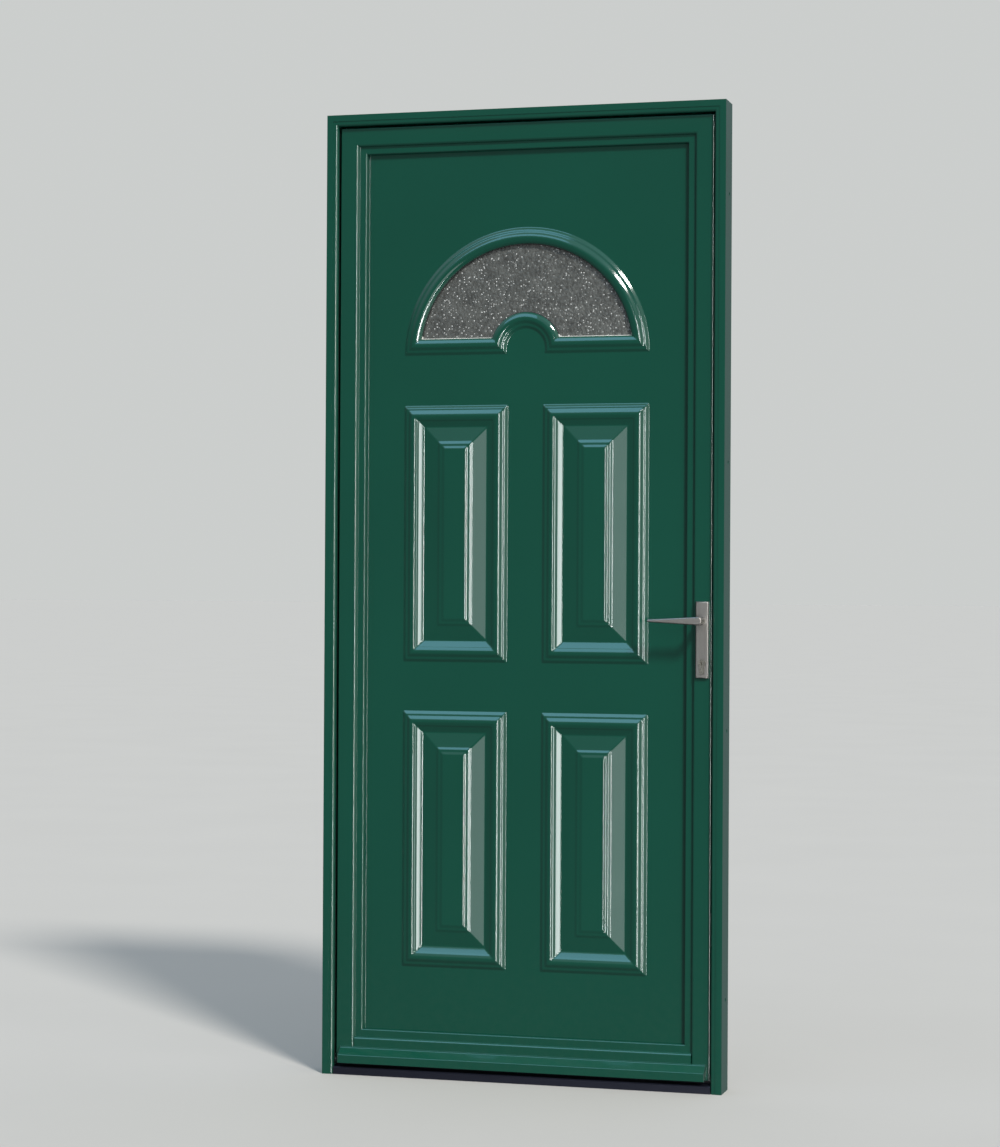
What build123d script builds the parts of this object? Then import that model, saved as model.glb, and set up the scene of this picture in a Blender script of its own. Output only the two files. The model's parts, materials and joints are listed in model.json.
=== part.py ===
from build123d import *
from functools import partial
import math
import os

os.makedirs("parts", exist_ok=True)

# Panelled entrance door with its frame, in millimetres.
# X runs to the right seen from outside, the outside faces -Y, and Z runs up from the floor.
# The door opens inwards on hinges at its left edge. The origin is on the floor, at the frame's centre.

# Whole door
frame_width = 910.0
frame_height = 2150.0
frame_depth = 70.0
wall = 2.5

# Frame extrusion
frame_face = 25.0
frame_flat = 14.0
frame_step = 1.5
nose_radius = 5.0
nose_depth = 13.0
rebate_step = 4.0
fixing_radius = 4.0
fixing_inset = 200.0
frame_cleat_arm = 60.0

# Leaf extrusions
leaf_gap = 3.0
leaf_set_back = 15.0
leaf_depth = 70.0
leaf_face = 42.5
leaf_bottom = 28.0
bottom_rail_face = 56.0
leaf_edge_radius = 3.0
leaf_inner_radius = 6.0
leaf_web = 19.0
lip_width = 17.0
lip_drop = 8.0
lip_thickness = 8.5
lip_radius = 3.0
overlap_reach = 15.0
overlap_thickness = 12.0
leaf_cleat_arm = 70.0

# Moulded panel
panel_thickness = 28.0
skin = 2.0
panel_edge_gap = 5.0
gasket_grip = 9.0
gasket_inset = 1.0
outer_gasket = 3.5
inner_gasket = 3.0
bead_wall = 1.6
bead_radius = 4.0
side_margin = 87.5
column_gap = 80.0
bottom_margin = 143.0
row_gap = 110.0
arch_gap = 113.0
arch_drop = 512.0
notch_radius = 44.0
notch_rise = 12.0

# Glass unit
glass_overlap = 8.0
glass_gap = 2.0
glass = 4.0
seal_thickness = 4.0
seal_show = 1.5
spacer_width = 8.0

# Threshold, seals and weather bar
threshold_height = 20.0
threshold_front = 17.0
threshold_set_back = 2.0
threshold_wall = 2.0
threshold_groove = 5.0
drain_width = 12.0
seal_clearance = 0.3
seal_depth = 3.0
seal_width = 6.0
leaf_seal_inset = 1.0
bottom_seal_width = 12.0
bar_inset = 11.0
bar_bottom = 27.0
bar_front_height = 18.0
bar_height = 35.0
bar_reach = 20.0
bar_wall = 2.0
bar_cap = 1.5

# Hinges
hinge_radius = 9.0
hinge_length = 100.0
hinge_knuckle = 42.0
hinge_axis_proud = 12.0
hinge_axis_out = 4.0
hinge_wing = 34.0
hinge_web = 4.0
hinge_plate = 4.0
hinge_inset = 220.0
pin_radius = 5.0
pin_head = 2.0
pin_head_taper = 30.0
bush_wall = 1.5
running_gap = 0.1
knuckle_gap = 0.3
wing_gap = 1.5
wing_clearance = 1.0
plate_lap = 2.0

# Screws
screw_radius = 2.2
screw_head_radius = 3.6
screw_head = 2.4
screw_length = 12.0
screw_pitch = 70.0

# Lock
handle_height = 1022.0
cylinder_drop = 92.0
case_thickness = 16.0
case_wall = 1.5
case_side_gap = 2.0
case_above_lever = 78.0
case_below_cylinder = 60.0
bolt_case_height = 100.0
faceplate_width = 24.0
faceplate_end_radius = 11.0
faceplate_top_inset = 172.0
faceplate_bottom_inset = 222.0
face_screw_inset = 15.0
upper_bolt_inset = 272.0
lower_bolt_inset = 322.0
latch_above = 34.0
latch_height = 18.0
latch_throw = 12.0
latch_length = 32.0
latch_shoulder = 1.0
latch_nose = 2.0
bolt_above_cylinder = 28.0
bolt_height = 22.0
bolt_length = 34.0
bolt_thickness = 12.0
bolt_clearance = 2.0
bolt_slot_gap = 0.3
rod_thickness = 3.0
rod_width = 12.0
rod_end = 12.0
rod_gap = 0.5
rod_travel = 20.0
keep_thickness = 2.5
keep_width = 36.0
keep_margin = 22.0

# Cylinder
plug_radius = 6.5
cylinder_radius = 8.5
cylinder_web = 10.0
cylinder_height = 33.0
cylinder_proud = 3.0
cylinder_gap = 0.5
cylinder_screw_rise = 7.0
cam_reach = 12.5
cam_thickness = 9.6
cam_width = 6.0
cam_gap = 0.3
key_slot_width = 2.4
key_slot_height = 8.0
key_slot_depth = 14.0

# Handles
plate_width = 28.0
plate_height = 166.0
plate_above_lever = 42.0
plate_thickness = 8.0
plate_radius = 2.0
plate_screw_inset = 10.0
spindle_width = 8.0
spindle_gap = 0.1
neck_radius = 8.0
neck_gap = 0.3
lever_stand_off = 38.0
socket_depth = 36.0
socket_end_gap = 1.0
lever_length = 112.0
lever_thickness = 11.0
lever_root_radius = 9.0
lever_tip_radius = 3.0
lever_edge_radius = 2.5
follower_radius = 9.0
follower_hole_gap = 1.0
follower_arm = 23.0
follower_arm_width = 3.2
follower_lean = 17.5
hook_width = 2.0
hook_above = 18.5

# Places that follow from the sizes above
half_width = frame_width / 2
frame_out = -frame_depth / 2
frame_in = frame_depth / 2
nose_half = half_width - frame_face
rebate_face = frame_face - rebate_step
rebate_half = half_width - rebate_face
leaf_half = nose_half - leaf_gap
leaf_top = frame_height - frame_face - leaf_gap
leaf_out = frame_out + leaf_set_back
leaf_in = leaf_out + leaf_depth
infill_half = leaf_half - leaf_face
infill_top = leaf_top - leaf_face
infill_bottom = leaf_bottom + bottom_rail_face
lip_half = infill_half - lip_width
lip_bottom = infill_bottom + lip_width
lip_back = leaf_out + lip_drop + lip_thickness
panel_out = lip_back + outer_gasket
panel_in = panel_out + panel_thickness
panel_half = infill_half - panel_edge_gap
panel_top = infill_top - panel_edge_gap
panel_bottom = infill_bottom + panel_edge_gap
bead_out = panel_in + inner_gasket
moulding_half = lip_half - side_margin
arch_base = leaf_top - arch_drop
arch_radius = moulding_half
panel_width = moulding_half - column_gap / 2
panel_column = column_gap / 2 + panel_width / 2
row_base = lip_bottom + bottom_margin
row_height = (arch_base - arch_gap - row_base - row_gap) / 2
lock_plane = leaf_out + leaf_depth / 2
screw_angle = 2 * math.degrees(math.atan((screw_head_radius - screw_radius) / screw_head))
handle_x = leaf_half - leaf_face / 2
cylinder_height_z = handle_height - cylinder_drop
latch_z = handle_height + latch_above
bolt_z = cylinder_height_z + bolt_above_cylinder
case_left = infill_half + wall + case_side_gap
case_right = leaf_half - wall
case_top = handle_height + case_above_lever
case_bottom = cylinder_height_z - case_below_cylinder
faceplate_low = leaf_bottom + faceplate_bottom_inset
faceplate_high = leaf_top - faceplate_top_inset
upper_bolt_z = leaf_top - upper_bolt_inset
lower_bolt_z = leaf_bottom + lower_bolt_inset
hinge_x = -(leaf_half + overlap_reach + hinge_axis_out)
hinge_y = leaf_in + hinge_axis_proud
hinge_heights = (
    leaf_bottom + hinge_inset,
    (leaf_bottom + leaf_top) / 2,
    leaf_top - hinge_inset,
)
fixing_step = (frame_height - 2 * fixing_inset) / 3
fixing_heights = tuple(fixing_inset + fixing_step * place for place in range(4))

# Height of the moulded relief over the panel face, from the moulding's outer edge inwards:
# each pair is the distance in from the edge, and how far the metal stands proud there.
moulding_rise = ((0, 0), (6, 3.8), (11, 4.4), (17, 7.8), (21, 8.6))
moulding_fall = ((25, 8.6), (32, 6.4), (34, 4.8), (41, 2.2), (46, 0.4))
field_rise = ((48, 0), (80, 5.4), (85, 7.6), (90, 8.0), (96, 9.8))
arch_rise = moulding_rise
arch_fall = ((25, 8.6), (31, 7.0), (36, 4.0))


def box_between(low, high, mode=Mode.ADD):
    """Add or cut a box given by two opposite corners."""
    size = [high[axis] - low[axis] for axis in range(3)]
    middle = tuple((low[axis] + high[axis]) / 2 for axis in range(3))
    with Locations(middle):
        Box(*size, mode=mode)


def across(x, y, z):
    """The plane at a point that faces outside, with its first axis to the right and its second up."""
    return Plane(origin=(x, y, z), x_dir=(1, 0, 0), z_dir=(0, -1, 0))


def rod_along_y(x, z, y_low, y_high, radius, mode=Mode.ADD):
    """Add or cut a round bar that lies along Y."""
    with Locations(Location((x, (y_low + y_high) / 2, z), (90, 0, 0))):
        Cylinder(radius, y_high - y_low, mode=mode)


def rod_along_x(y, z, x_low, x_high, radius, mode=Mode.ADD):
    """Add or cut a round bar that lies along X."""
    with Locations(Location(((x_low + x_high) / 2, y, z), (0, 90, 0))):
        Cylinder(radius, x_high - x_low, mode=mode)


def frame_section(plane):
    """Hollow frame extrusion: inwards from the outer edge, and back from the outside face."""
    with BuildSketch(plane) as section:
        Rectangle(rebate_face, frame_depth, align=Align.MIN)
        Rectangle(frame_face, nose_depth, align=Align.MIN)
        with Locations((frame_flat, 0)):
            Rectangle(frame_face - frame_flat, frame_step, align=Align.MIN, mode=Mode.SUBTRACT)
        nose = section.vertices().group_by(Axis.X)[-1].sort_by(Axis.Y)[0]
        fillet(nose, nose_radius)
        chamber = rebate_face - 2 * wall
        with Locations((wall, frame_step + wall)):
            Rectangle(chamber, nose_depth - frame_step - 2 * wall, align=Align.MIN, mode=Mode.SUBTRACT)
        with Locations((wall, nose_depth)):
            Rectangle(chamber, frame_depth - nose_depth - wall, align=Align.MIN, mode=Mode.SUBTRACT)
    return section.sketch


def leaf_section(plane, face, overlap):
    """Hollow leaf extrusion with its outside lip, and its inside overlap where it has one."""
    with BuildSketch(plane) as section:
        Rectangle(face, leaf_depth, align=Align.MIN)
        front = section.vertices().group_by(Axis.Y)[0].sort_by(Axis.X)
        fillet(front[0], leaf_edge_radius)
        fillet(front[1], leaf_inner_radius)
        with Locations((face - wall, lip_drop)):
            Rectangle(lip_width + wall, lip_thickness, align=Align.MIN)
        lip_corner = section.vertices().group_by(Axis.X)[-1].sort_by(Axis.Y)[0]
        fillet(lip_corner, lip_radius)
        if overlap:
            with Locations((-overlap_reach, leaf_depth - overlap_thickness)):
                Rectangle(overlap_reach + wall, overlap_thickness, align=Align.MIN)
        with Locations((wall, wall)):
            Rectangle(face - 2 * wall, leaf_web - 2 * wall, align=Align.MIN, mode=Mode.SUBTRACT)
        with Locations((wall, leaf_web)):
            Rectangle(face - 2 * wall, leaf_depth - leaf_web - wall, align=Align.MIN, mode=Mode.SUBTRACT)
        if overlap:
            with Locations((-overlap_reach + wall, leaf_depth - overlap_thickness + wall)):
                Rectangle(
                    overlap_reach - wall,
                    overlap_thickness - 2 * wall,
                    align=Align.MIN,
                    mode=Mode.SUBTRACT,
                )
    return section.sketch


def bead_section(plane):
    """Hollow inside bead: inwards from the infill's edge, and back from the inner gasket."""
    depth = leaf_in - bead_out
    with BuildSketch(plane) as section:
        Rectangle(lip_width, depth, align=Align.MIN)
        corner = section.vertices().group_by(Axis.X)[-1].sort_by(Axis.Y)[-1]
        fillet(corner, bead_radius)
        with Locations((bead_wall, bead_wall)):
            Rectangle(lip_width - 2 * bead_wall, depth - 2 * bead_wall, align=Align.MIN, mode=Mode.SUBTRACT)
    return section.sketch


def rising_to_the_right(x, z):
    """The mitre plane of an upper left or lower right corner, whose normal points up and right."""
    return Plane(origin=(x, 0, z), z_dir=(1, 0, 1))


def rising_to_the_left(x, z):
    """The mitre plane of an upper right or lower left corner, whose normal points up and left."""
    return Plane(origin=(x, 0, z), z_dir=(-1, 0, 1))


def arch_outline(inset, proud):
    """Half-round outline with its small notch, moved in by inset and out from the panel by proud."""
    outer = arch_radius - inset
    inner = notch_radius + inset
    foot = math.sqrt(outer**2 - inset**2)
    foot_angle = math.degrees(math.asin(inset / outer))
    rise = max(inset, notch_rise) - notch_rise
    notch_angle = math.degrees(math.asin(rise / inner))
    notch_foot = inner * math.cos(math.radians(notch_angle))
    with BuildSketch(across(0, panel_out - proud, arch_base)) as outline:
        with BuildLine():
            CenterArc((0, 0), outer, foot_angle, 180 - 2 * foot_angle)
            Line((-foot, inset), (-notch_foot, inset))
            CenterArc((0, notch_rise), inner, notch_angle, 180 - 2 * notch_angle)
            if inset < notch_rise:
                Line((-notch_foot, inset), (-notch_foot, notch_rise))
                Line((notch_foot, inset), (notch_foot, notch_rise))
            Line((notch_foot, inset), (foot, inset))
        make_face()
    return outline.sketch


def raised_outline(column, row, inset, proud):
    """Rectangle of one raised panel, moved in by inset and out from the panel face by proud."""
    x = column * panel_column
    z = row_base + row_height / 2 + row * (row_height + row_gap)
    with BuildSketch(across(x, panel_out - proud, z)) as outline:
        Rectangle(panel_width - 2 * inset, row_height - 2 * inset)
    return outline.sketch


def relief(outline, steps, mode=Mode.ADD):
    """Stack the sloping bands between neighbouring pairs of inset and height."""
    for (inset, proud), (next_inset, next_proud) in zip(steps, steps[1:]):
        loft([outline(inset, proud), outline(next_inset, next_proud)], ruled=True, mode=mode)


def infill_ring(outer_step, inner_step, y_low, y_high):
    """Flat ring round the infill: its outer and inner edges lie that far in from the infill's edge."""
    width = 2 * infill_half
    height = infill_top - infill_bottom
    middle = (infill_top + infill_bottom) / 2
    with BuildSketch(across(0, y_high, middle)) as ring:
        Rectangle(width - 2 * outer_step, height - 2 * outer_step)
        Rectangle(width - 2 * inner_step, height - 2 * inner_step, mode=Mode.SUBTRACT)
    extrude(ring.sketch, amount=y_high - y_low)


def door_strip(y, half, low, high, width):
    """Sketch, facing outside, of a strip that runs up one side, across the top and down the other."""
    with BuildSketch(across(0, y, low)) as strip:
        Rectangle(2 * half, high - low, align=(Align.CENTER, Align.MIN))
        Rectangle(
            2 * (half - width),
            high - low - width,
            align=(Align.CENTER, Align.MIN),
            mode=Mode.SUBTRACT,
        )
    return strip.sketch


def arch_ring(outer_inset, inner_inset, y_low, y_high):
    """Flat ring that follows the arched window between two insets."""
    outer = arch_outline(outer_inset, panel_out - y_high)
    inner = arch_outline(inner_inset, panel_out - y_high)
    extrude(outer, amount=y_high - y_low)
    extrude(inner, amount=y_high - y_low, mode=Mode.SUBTRACT)


def cylinder_outline(y, gap):
    """Profile of the lock cylinder, round above a narrower web, widened all round by gap."""
    foot = cylinder_height - cylinder_radius - cylinder_web / 2
    with BuildSketch(across(handle_x, y, cylinder_height_z)) as outline:
        Circle(cylinder_radius + gap)
        with Locations((0, -foot / 2)):
            Rectangle(cylinder_web + 2 * gap, foot)
        with Locations((0, -foot)):
            Circle(cylinder_web / 2 + gap)
    return outline.sketch


def cylinder_hole(y_low, y_high):
    """Cut the lock cylinder's hole between two depths."""
    extrude(cylinder_outline(y_high, cylinder_gap), amount=y_high - y_low, mode=Mode.SUBTRACT)


def screw_along_y(x, z, head_y, into, length):
    """Countersunk screw whose head lies flush at head_y; into is +1 or -1 along Y."""
    with BuildSketch(Plane(origin=(x, head_y, z), x_dir=(1, 0, 0), z_dir=(0, into, 0))) as head:
        Circle(screw_head_radius)
    neck_plane = Plane(origin=(x, head_y + into * screw_head, z), x_dir=(1, 0, 0), z_dir=(0, into, 0))
    with BuildSketch(neck_plane) as neck:
        Circle(screw_radius)
    loft([head.sketch, neck.sketch], ruled=True)
    extrude(neck.sketch, amount=length - screw_head)


def screw_along_x(y, z, head_x, into, length):
    """Countersunk screw whose head lies flush at head_x; into is +1 or -1 along X."""
    with BuildSketch(Plane(origin=(head_x, y, z), x_dir=(0, 1, 0), z_dir=(into, 0, 0))) as head:
        Circle(screw_head_radius)
    neck_plane = Plane(origin=(head_x + into * screw_head, y, z), x_dir=(0, 1, 0), z_dir=(into, 0, 0))
    with BuildSketch(neck_plane) as neck:
        Circle(screw_radius)
    loft([head.sketch, neck.sketch], ruled=True)
    extrude(neck.sketch, amount=length - screw_head)


def screw_hole_y(x, z, face_y, into, depth):
    """Countersunk hole for a screw along Y, sunk from face_y."""
    plane = Plane(origin=(x, face_y, z), x_dir=(1, 0, 0), z_dir=(0, -into, 0))
    with Locations(plane):
        CounterSinkHole(screw_hole, screw_head_radius + running_gap, depth, screw_angle)


def screw_hole_x(y, z, face_x, into, depth):
    """Countersunk hole for a screw along X, sunk from face_x."""
    plane = Plane(origin=(face_x, y, z), x_dir=(0, 1, 0), z_dir=(-into, 0, 0))
    with Locations(plane):
        CounterSinkHole(screw_hole, screw_head_radius + running_gap, depth, screw_angle)


# Where the hinge wings and their screws lie
screw_hole = screw_radius + running_gap
wing_edge = -(leaf_half + overlap_reach + wing_gap)
wing_screw_x = (wing_edge - half_width) / 2
wing_top = hinge_y - hinge_radius - wing_clearance
plate_start = hinge_x + hinge_radius - plate_lap
plate_screw_x = plate_start + hinge_wing / 2
frame_screw_step = hinge_knuckle / 2 - 2 * screw_head_radius
frame_screw_heights = [centre + side * frame_screw_step for centre in hinge_heights for side in (-1, 1)]
leaf_screw_heights = [centre + side * screw_pitch / 2 for centre in hinge_heights for side in (-1, 1)]
plate_low = handle_height + plate_above_lever - plate_height
plate_high = handle_height + plate_above_lever
plate_screw_heights = (
    cylinder_height_z + cylinder_radius + plate_screw_inset,
    plate_high - plate_screw_inset,
)

# Frame jambs and head
left_edge = Plane(origin=(-half_width, frame_out, 0), x_dir=(1, 0, 0), z_dir=(0, 0, 1))
right_edge = Plane(origin=(half_width, frame_out, frame_height), x_dir=(-1, 0, 0), z_dir=(0, 0, -1))
top_edge = Plane(origin=(-half_width, frame_out, frame_height), x_dir=(0, 0, -1), z_dir=(1, 0, 0))
fixing_y = (frame_out + nose_depth + frame_in) / 2

with BuildPart() as frame_hinge_jamb:
    extrude(frame_section(left_edge), amount=frame_height)
    split(bisect_by=rising_to_the_right(-half_width, frame_height), keep=Keep.BOTTOM)
    for height in fixing_heights:
        rod_along_x(fixing_y, height, -half_width, -rebate_half, fixing_radius, Mode.SUBTRACT)
    for height in frame_screw_heights:
        rod_along_y(wing_screw_x, height, frame_in - wall, frame_in, screw_hole, Mode.SUBTRACT)
frame_hinge_jamb.part.label = "frame_hinge_jamb"

keep_y_low = lock_plane - keep_width / 2
keep_y_high = min(lock_plane + keep_width / 2, frame_in)
window_y_low = lock_plane - bolt_thickness / 2 - bolt_clearance
window_y_high = lock_plane + bolt_thickness / 2 + bolt_clearance
latch_window = latch_height / 2 + bolt_clearance
bolt_window = bolt_height / 2 + bolt_clearance
bolt_windows = (
    (latch_z, latch_window),
    (bolt_z, bolt_window),
    (upper_bolt_z, bolt_window),
    (lower_bolt_z, bolt_window),
)
keep_spans = (
    (bolt_z - bolt_window - keep_margin, latch_z + latch_window + keep_margin),
    (upper_bolt_z - bolt_window - keep_margin, upper_bolt_z + bolt_window + keep_margin),
    (lower_bolt_z - bolt_window - keep_margin, lower_bolt_z + bolt_window + keep_margin),
)
keep_screw_step = keep_margin / 2

with BuildPart() as frame_lock_jamb:
    extrude(frame_section(right_edge), amount=frame_height)
    split(bisect_by=rising_to_the_left(half_width, frame_height), keep=Keep.BOTTOM)
    for height in fixing_heights:
        rod_along_x(fixing_y, height, rebate_half, half_width, fixing_radius, Mode.SUBTRACT)
    for centre, reach in bolt_windows:
        box_between(
            (rebate_half, window_y_low, centre - reach),
            (rebate_half + wall, window_y_high, centre + reach),
            Mode.SUBTRACT,
        )
    for low, high in keep_spans:
        for height in (low + keep_screw_step, high - keep_screw_step):
            rod_along_x(lock_plane, height, rebate_half, rebate_half + wall, screw_hole, Mode.SUBTRACT)
frame_lock_jamb.part.label = "frame_lock_jamb"

with BuildPart() as frame_head:
    extrude(frame_section(top_edge), amount=frame_width)
    split(bisect_by=rising_to_the_right(-half_width, frame_height), keep=Keep.TOP)
    split(bisect_by=rising_to_the_left(half_width, frame_height), keep=Keep.TOP)
frame_head.part.label = "frame_head"

with BuildPart() as frame_corner_cleats:
    for side in (-1, 1):
        corner = side * (half_width - wall)
        inner = side * (rebate_half + wall)
        end = side * (half_width - frame_cleat_arm)
        low_y = frame_out + nose_depth
        high_y = frame_in - wall
        top = frame_height - wall
        box_between(
            (min(corner, inner), low_y, frame_height - frame_cleat_arm),
            (max(corner, inner), high_y, top),
        )
        box_between(
            (min(corner, end), low_y, frame_height - rebate_face + wall),
            (max(corner, end), high_y, top),
        )
frame_corner_cleats.part.label = "frame_corner_cleats"

# Threshold between the jambs, with a sloped front, a drain groove and a hollow under each
threshold_out = frame_out + threshold_set_back
threshold_section = Plane(origin=(-rebate_half, 0, 0), x_dir=(0, 1, 0), z_dir=(1, 0, 0))
groove_y = leaf_out + leaf_edge_radius

with BuildPart() as frame_threshold:
    with BuildSketch(threshold_section):
        with BuildLine():
            Polyline(
                (threshold_out, 0),
                (threshold_out, threshold_front - threshold_wall),
                (threshold_out + threshold_wall, threshold_front),
                (groove_y, threshold_height),
                (groove_y, threshold_height - threshold_groove),
                (groove_y + drain_width, threshold_height - threshold_groove),
                (groove_y + drain_width, threshold_height),
                (leaf_in - threshold_wall, threshold_height),
                (leaf_in, threshold_height - threshold_wall),
                (leaf_in, 0),
                (threshold_out, 0),
            )
        make_face()
        with BuildLine():
            Polyline(
                (threshold_out + threshold_wall, threshold_wall),
                (threshold_out + threshold_wall, threshold_front - 2 * threshold_wall),
                (groove_y, threshold_height - threshold_groove - threshold_wall),
                (groove_y + drain_width, threshold_height - threshold_groove - threshold_wall),
                (groove_y + drain_width, threshold_wall),
                (threshold_out + threshold_wall, threshold_wall),
            )
        make_face(mode=Mode.SUBTRACT)
        with Locations((groove_y + drain_width + threshold_wall, threshold_wall)):
            Rectangle(
                leaf_in - groove_y - drain_width - 2 * threshold_wall,
                threshold_height - 2 * threshold_wall,
                align=Align.MIN,
                mode=Mode.SUBTRACT,
            )
    extrude(amount=2 * rebate_half)
    for side in (-1, 1):
        near = side * nose_half
        far = side * rebate_half
        box_between(
            (min(near, far), threshold_out, 0),
            (max(near, far), frame_out + nose_depth, threshold_height),
            Mode.SUBTRACT,
        )
frame_threshold.part.label = "frame_threshold"

with BuildPart() as frame_seal:
    seal_low = frame_out + nose_depth
    strip = door_strip(
        seal_low + seal_width, rebate_half, threshold_height, frame_height - rebate_face, seal_depth
    )
    extrude(strip, amount=seal_width)
frame_seal.part.label = "frame_seal"

# Leaf extrusions
leaf_left = Plane(origin=(-leaf_half, leaf_out, leaf_bottom), x_dir=(1, 0, 0), z_dir=(0, 0, 1))
leaf_run_top = leaf_top + overlap_reach
leaf_run_side = leaf_half + overlap_reach
leaf_right = Plane(origin=(leaf_half, leaf_out, leaf_run_top), x_dir=(-1, 0, 0), z_dir=(0, 0, -1))
leaf_upper = Plane(origin=(-leaf_run_side, leaf_out, leaf_top), x_dir=(0, 0, -1), z_dir=(1, 0, 0))
leaf_lower = Plane(origin=(infill_half, leaf_out, leaf_bottom), x_dir=(0, 0, 1), z_dir=(-1, 0, 0))
leaf_run = leaf_run_top - leaf_bottom


def clear_bottom_corner(side):
    """Cut a stile's lip away beside the bottom rail, and mitre it where the rail's own lip meets it."""
    with BuildSketch(across(0, lip_back, 0)) as corner:
        with BuildLine():
            Polyline(
                (side * infill_half, leaf_bottom),
                (side * infill_half, infill_bottom),
                (side * lip_half, lip_bottom),
                (side * lip_half, leaf_bottom),
                close=True,
            )
        make_face()
    extrude(corner.sketch, amount=lip_thickness, mode=Mode.SUBTRACT)


with BuildPart() as leaf_hinge_stile:
    extrude(leaf_section(leaf_left, leaf_face, True), amount=leaf_run)
    split(bisect_by=rising_to_the_right(-leaf_half, leaf_top), keep=Keep.BOTTOM)
    clear_bottom_corner(-1)
    for height in leaf_screw_heights:
        rod_along_y(plate_screw_x, height, leaf_in - wall, leaf_in, screw_hole, Mode.SUBTRACT)
leaf_hinge_stile.part.label = "leaf_hinge_stile"

lever_hole_radius = follower_radius + follower_hole_gap
face_low = lock_plane - faceplate_width / 2
face_high = lock_plane + faceplate_width / 2

with BuildPart() as leaf_lock_stile:
    extrude(leaf_section(leaf_right, leaf_face, True), amount=leaf_run)
    split(bisect_by=rising_to_the_left(leaf_half, leaf_top), keep=Keep.BOTTOM)
    clear_bottom_corner(1)
    box_between(
        (leaf_half - wall, face_low, faceplate_low),
        (leaf_half, face_high, faceplate_high),
        Mode.SUBTRACT,
    )
    rod_along_y(handle_x, handle_height, leaf_out, leaf_in, lever_hole_radius, Mode.SUBTRACT)
    cylinder_hole(leaf_out, leaf_in)
    for height in plate_screw_heights:
        rod_along_y(handle_x, height, leaf_in - wall, leaf_in, screw_hole, Mode.SUBTRACT)
leaf_lock_stile.part.label = "leaf_lock_stile"

with BuildPart() as leaf_top_rail:
    extrude(leaf_section(leaf_upper, leaf_face, True), amount=2 * leaf_run_side)
    split(bisect_by=rising_to_the_right(-leaf_half, leaf_top), keep=Keep.TOP)
    split(bisect_by=rising_to_the_left(leaf_half, leaf_top), keep=Keep.TOP)
leaf_top_rail.part.label = "leaf_top_rail"

with BuildPart() as leaf_bottom_rail:
    extrude(leaf_section(leaf_lower, bottom_rail_face, False), amount=2 * infill_half)
    for side in (-1, 1):
        with BuildSketch(across(0, lip_back, 0)) as corner:
            with BuildLine():
                Polyline(
                    (side * infill_half, infill_bottom),
                    (side * infill_half, lip_bottom),
                    (side * lip_half, lip_bottom),
                    close=True,
                )
            make_face()
        extrude(corner.sketch, amount=lip_thickness, mode=Mode.SUBTRACT)
leaf_bottom_rail.part.label = "leaf_bottom_rail"

chamber_out = leaf_out + leaf_web
chamber_in = leaf_in - wall
with BuildPart() as leaf_corner_cleats:
    for side in (-1, 1):
        outer = side * (leaf_half - wall)
        inner = side * (infill_half + wall)
        end = side * (leaf_half - leaf_cleat_arm)
        box_between(
            (min(outer, inner), chamber_out, leaf_top - leaf_cleat_arm),
            (max(outer, inner), chamber_in, leaf_top - wall),
        )
        box_between(
            (min(outer, end), chamber_out, infill_top + wall),
            (max(outer, end), chamber_in, leaf_top - wall),
        )
        joint = side * infill_half
        box_between(
            (min(joint, end), chamber_out, leaf_bottom + wall),
            (max(joint, end), chamber_in, infill_bottom - wall),
        )
leaf_corner_cleats.part.label = "leaf_corner_cleats"

# Weather bar along the foot of the leaf, its end caps, and the leaf's own seals
bar_top = bar_bottom + bar_height
bar_nose = leaf_out - bar_reach
bar_half = leaf_half - bar_inset
bar_plane = Plane(origin=(-bar_half, 0, 0), x_dir=(0, 1, 0), z_dir=(1, 0, 0))


def bar_section():
    """Weather bar: a back flange, a sloped top and a front that hangs down as a drip edge."""
    with BuildSketch(bar_plane) as section:
        with BuildLine():
            Polyline(
                (leaf_out, leaf_bottom),
                (leaf_out, bar_top),
                (bar_nose, bar_bottom + bar_front_height),
                (bar_nose, bar_bottom),
                (bar_nose + bar_wall, bar_bottom),
                (bar_nose + bar_wall, bar_bottom + bar_front_height - bar_wall / 2),
                (leaf_out - bar_wall, bar_top - 2 * bar_wall),
                (leaf_out - bar_wall, leaf_bottom),
                close=True,
            )
        make_face()
    return section.sketch


with BuildPart() as weather_bar:
    extrude(bar_section(), amount=2 * bar_half)
    crease = weather_bar.edges().filter_by(Axis.X).group_by(Axis.Y)[0].sort_by(Axis.Z)[-1]
    fillet(crease, bar_wall)
weather_bar.part.label = "weather_bar"

with BuildPart() as weather_bar_caps:
    for side in (-1, 1):
        near = side * bar_half
        with BuildSketch(Plane(origin=(near, 0, 0), x_dir=(0, 1, 0), z_dir=(1, 0, 0))) as end:
            with BuildLine():
                Polyline(
                    (leaf_out, leaf_bottom),
                    (leaf_out, bar_top),
                    (bar_nose, bar_bottom + bar_front_height),
                    (bar_nose, bar_bottom),
                    close=True,
                )
            make_face()
        extrude(end.sketch, amount=side * bar_cap)
weather_bar_caps.part.label = "weather_bar_caps"

with BuildPart() as bottom_seal:
    box_between(
        (-infill_half, lock_plane, threshold_height + seal_clearance),
        (infill_half, lock_plane + bottom_seal_width, leaf_bottom),
    )
bottom_seal.part.label = "bottom_seal"

overlap_face = leaf_in - overlap_thickness
with BuildPart() as leaf_seal:
    seal_reach = overlap_reach - leaf_seal_inset
    strip = door_strip(overlap_face, leaf_half + seal_reach, leaf_bottom, leaf_top + seal_reach, seal_width)
    extrude(strip, amount=overlap_face - frame_in - seal_clearance)
leaf_seal.part.label = "leaf_seal"

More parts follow.
